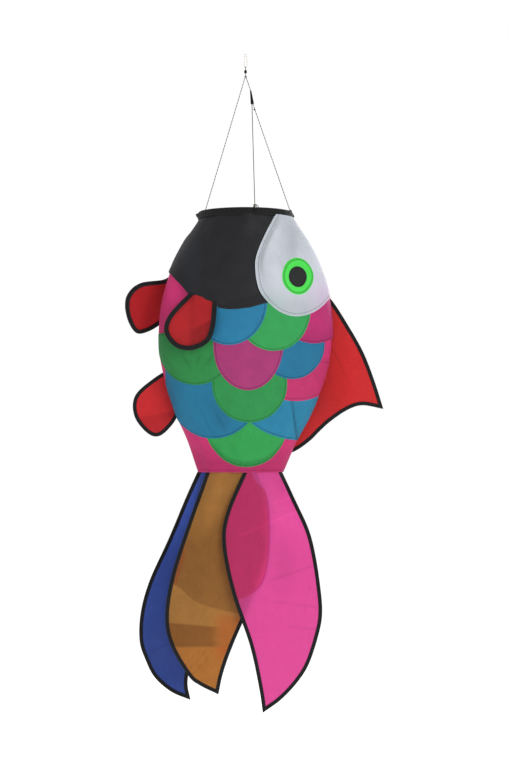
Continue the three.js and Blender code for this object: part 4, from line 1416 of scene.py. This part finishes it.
def paint_orange(x, drop, rim):
    """Painted shade as of the petals round it, and painted light and shade in bands between its
    cross folds, streaks and creases.
    """
    low, left = smooth(SHADE_LOW, x), smooth(SHADE_LEFT, drop)
    dark = step(low - drop, -1.5, 1.5) * step(x - left, -1.5, 1.5) * step(drop, 470, 545)
    strip = step(low - drop, -1.5, 1.5) * (1 - step(x - left, -1.5, 1.5)) * step(drop, 500, 560)
    band_top = 664 + 0.1 * (x + 90)
    band = (step(drop - band_top, -1, 1.5) * (1 - step(drop, 698, 700.5)) * (1 - step(x, -58, -38)))
    tint = 1 - dark[:, None] * np.array([0.26, 0.32, 0.36])
    tint = tint * (1 - strip[:, None] * np.array([0.24, 0.5, 0.5]))
    tint = tint * (1 - band[:, None] * np.array([0.33, 0.44, 0.54]))
    tint = tint * (1 - step(drop, 698, 702)[:, None] * np.array([-0.06, 0.13, 0.3]))
    bright = step(x, -58, -36) * step(drop, 640, 660) * (1 - step(drop, 705, 730))
    tint = tint * (1 - bright[:, None] * np.array([-0.06, 0.26, 0.3]))
    shadow = fade(smooth(CROSSING, drop) - x, 7) * (1 - step(drop, 650, 670))
    streaks = 0.05 * np.sin((x + 0.35 * drop) / 5.5) * (1 - step(drop, 500, 560))
    crease = sum(ridge(drop - at + 1.15 * (x + 90), 1.6) for at in (722, 736, 751))
    crease = crease * step(drop, 702, 708) * (1 - step(x, -62, -48))
    return tint * (1 - 0.34 * shadow - 0.16 * crease + streaks)[:, None]


def paint_blue(x, drop, rim):
    # painted light and shade: brighter toward the top, darker along the orange petal's edge and in
    # a fold
    shade = smooth([(400, 1.8), (470, 1.7), (560, 1.1), (640, 1), (720, 0.8), (800, 0.85)], drop)
    by_orange = smooth([(400, -60), (503, -92), (585, -118), (651, -129), (697, -120), (760, -70)],
                       drop) - x
    shade = shade * (1 - 0.3 * fade(by_orange, 9))
    fold = ridge(drop - 708 + 0.55 * (x + 140), 2) * step(x, -165, -150)
    tint = neutral(shade * (1 - 0.15 * fold))
    return tint * np.array([0.82, 1.02, 1.0])


CROSSING = [(400, -2), (421, -4), (482, -30), (532, -37), (611, -21.5), (695, 7)]
across = np.arange(-135.0, 40, 3)
down = np.arange(520.0, 600, 3)
# lines the panels' meshes follow: the edges of painted shade, and the orange petal's cross folds
FOLD_AND_SHADE_LINES = {
    "pink": [PINK_SHADE_EDGE + (0.6, 0), PINK_SHADE_EDGE - (0.6, 0)],
    "orange": [np.stack([across, smooth(SHADE_LOW, across) + d], 1) for d in (-1.5, 1.5)]
    + [np.stack([smooth(SHADE_LEFT, down) + d, down], 1) for d in (-1.5, 1.5)]
    + [np.stack([across, 664 + 0.1 * (across + 90) + d], 1) for d in (-1, 1.5)]
    + [np.stack([across, 0 * across + d], 1) for d in (698, 701)],
    "blue": [],
}
PETAL_SEAM = -0.684  # metres
PETAL_BEND = 0.060
for label, place, paint in (("pink", sewn_in(hang_pink, -1, -0.9, 500), paint_pink),
                            ("orange", sewn_in(hang_orange, -1, -2.6, 500), paint_orange),
                            ("blue", sewn_in(hang_blue, 1, -1.2, 510), paint_blue)):
    left, right = PETALS[label]
    outline = np.vstack([curve(left, 60), curve(right, 60)[::-1][1:]])
    name = f"tail_petal_{label}"
    bound_sheet(name, outline, place, f"petal_{label}", f"tail_{label}",
                keep_in=lambda p: p[:, 1] > TUCK, lines=[[(-200, TUCK), (200, TUCK)]],
                panel_lines=FOLD_AND_SHADE_LINES[label], cell=3.4, paint=paint, nodes=pair(name), thin=thin_top,
                blend=("fish", f"petal_{label}", (0, 0, PETAL_SEAM),
                       (0, 0, PETAL_SEAM - PETAL_BEND)))


# ---- floor and light ----
def plain(name, colour, strength):
    n = Nodes(bpy.data.materials.new(name))
    diffuse = n.add("ShaderNodeBsdfDiffuse", {"Color": colour})
    glow = n.add("ShaderNodeEmission", {"Color": colour, "Strength": strength})
    return n.finish(n.add("ShaderNodeAddShader", {0: diffuse.outputs[0], 1: glow.outputs[0]})
                    .outputs[0])


FLOOR_RADIUS = 9
FLOOR_HEIGHT = -1.42
bpy.ops.mesh.primitive_circle_add(vertices=96, radius=FLOOR_RADIUS, fill_type="NGON",
                                  location=(0, 0, FLOOR_HEIGHT))
floor = bpy.context.object
floor.name = "floor"
floor.data.materials.append(plain("floor_paint", (0.88, 0.88, 0.88, 1), 0.75))

# the backdrop is white, and gives the object softer light than it shows
n = Nodes(bpy.data.worlds.new("studio"))
seen = n.add("ShaderNodeBackground", {"Color": (1, 1, 1, 1), "Strength": 1.0}).outputs[0]
lighting = n.add("ShaderNodeBackground", {"Color": (0.97, 0.98, 1, 1), "Strength": 0.5}).outputs[0]
camera_ray = n.add("ShaderNodeLightPath").outputs["Is Camera Ray"]
either = n.add("ShaderNodeMixShader", {0: camera_ray, 1: lighting, 2: seen}).outputs[0]
bpy.context.scene.world = n.finish(either, "ShaderNodeOutputWorld")


def soft_light(name, place, aim, size, power):
    light = bpy.data.lights.new(name, "AREA")
    light.shape = "DISK"
    light.size = size
    light.energy = power
    obj = bpy.data.objects.new(name, light)
    bpy.context.scene.collection.objects.link(obj)
    obj.location = place
    obj.rotation_mode = "QUATERNION"
    obj.rotation_quaternion = (Vector(aim) - Vector(place)).to_track_quat("-Z", "Y")


soft_light("key", (1.6, -2.4, 0.5), (0, 0, -0.55), 1.2, 36)
soft_light("fill", (-2.2, -1.8, -0.3), (0, 0, -0.6), 1.6, 6)
soft_light("back", (1.2, 2.2, 0.2), (0, 0, -0.6), 1.4, 22)

bpy.context.scene.view_settings.view_transform = "Standard"
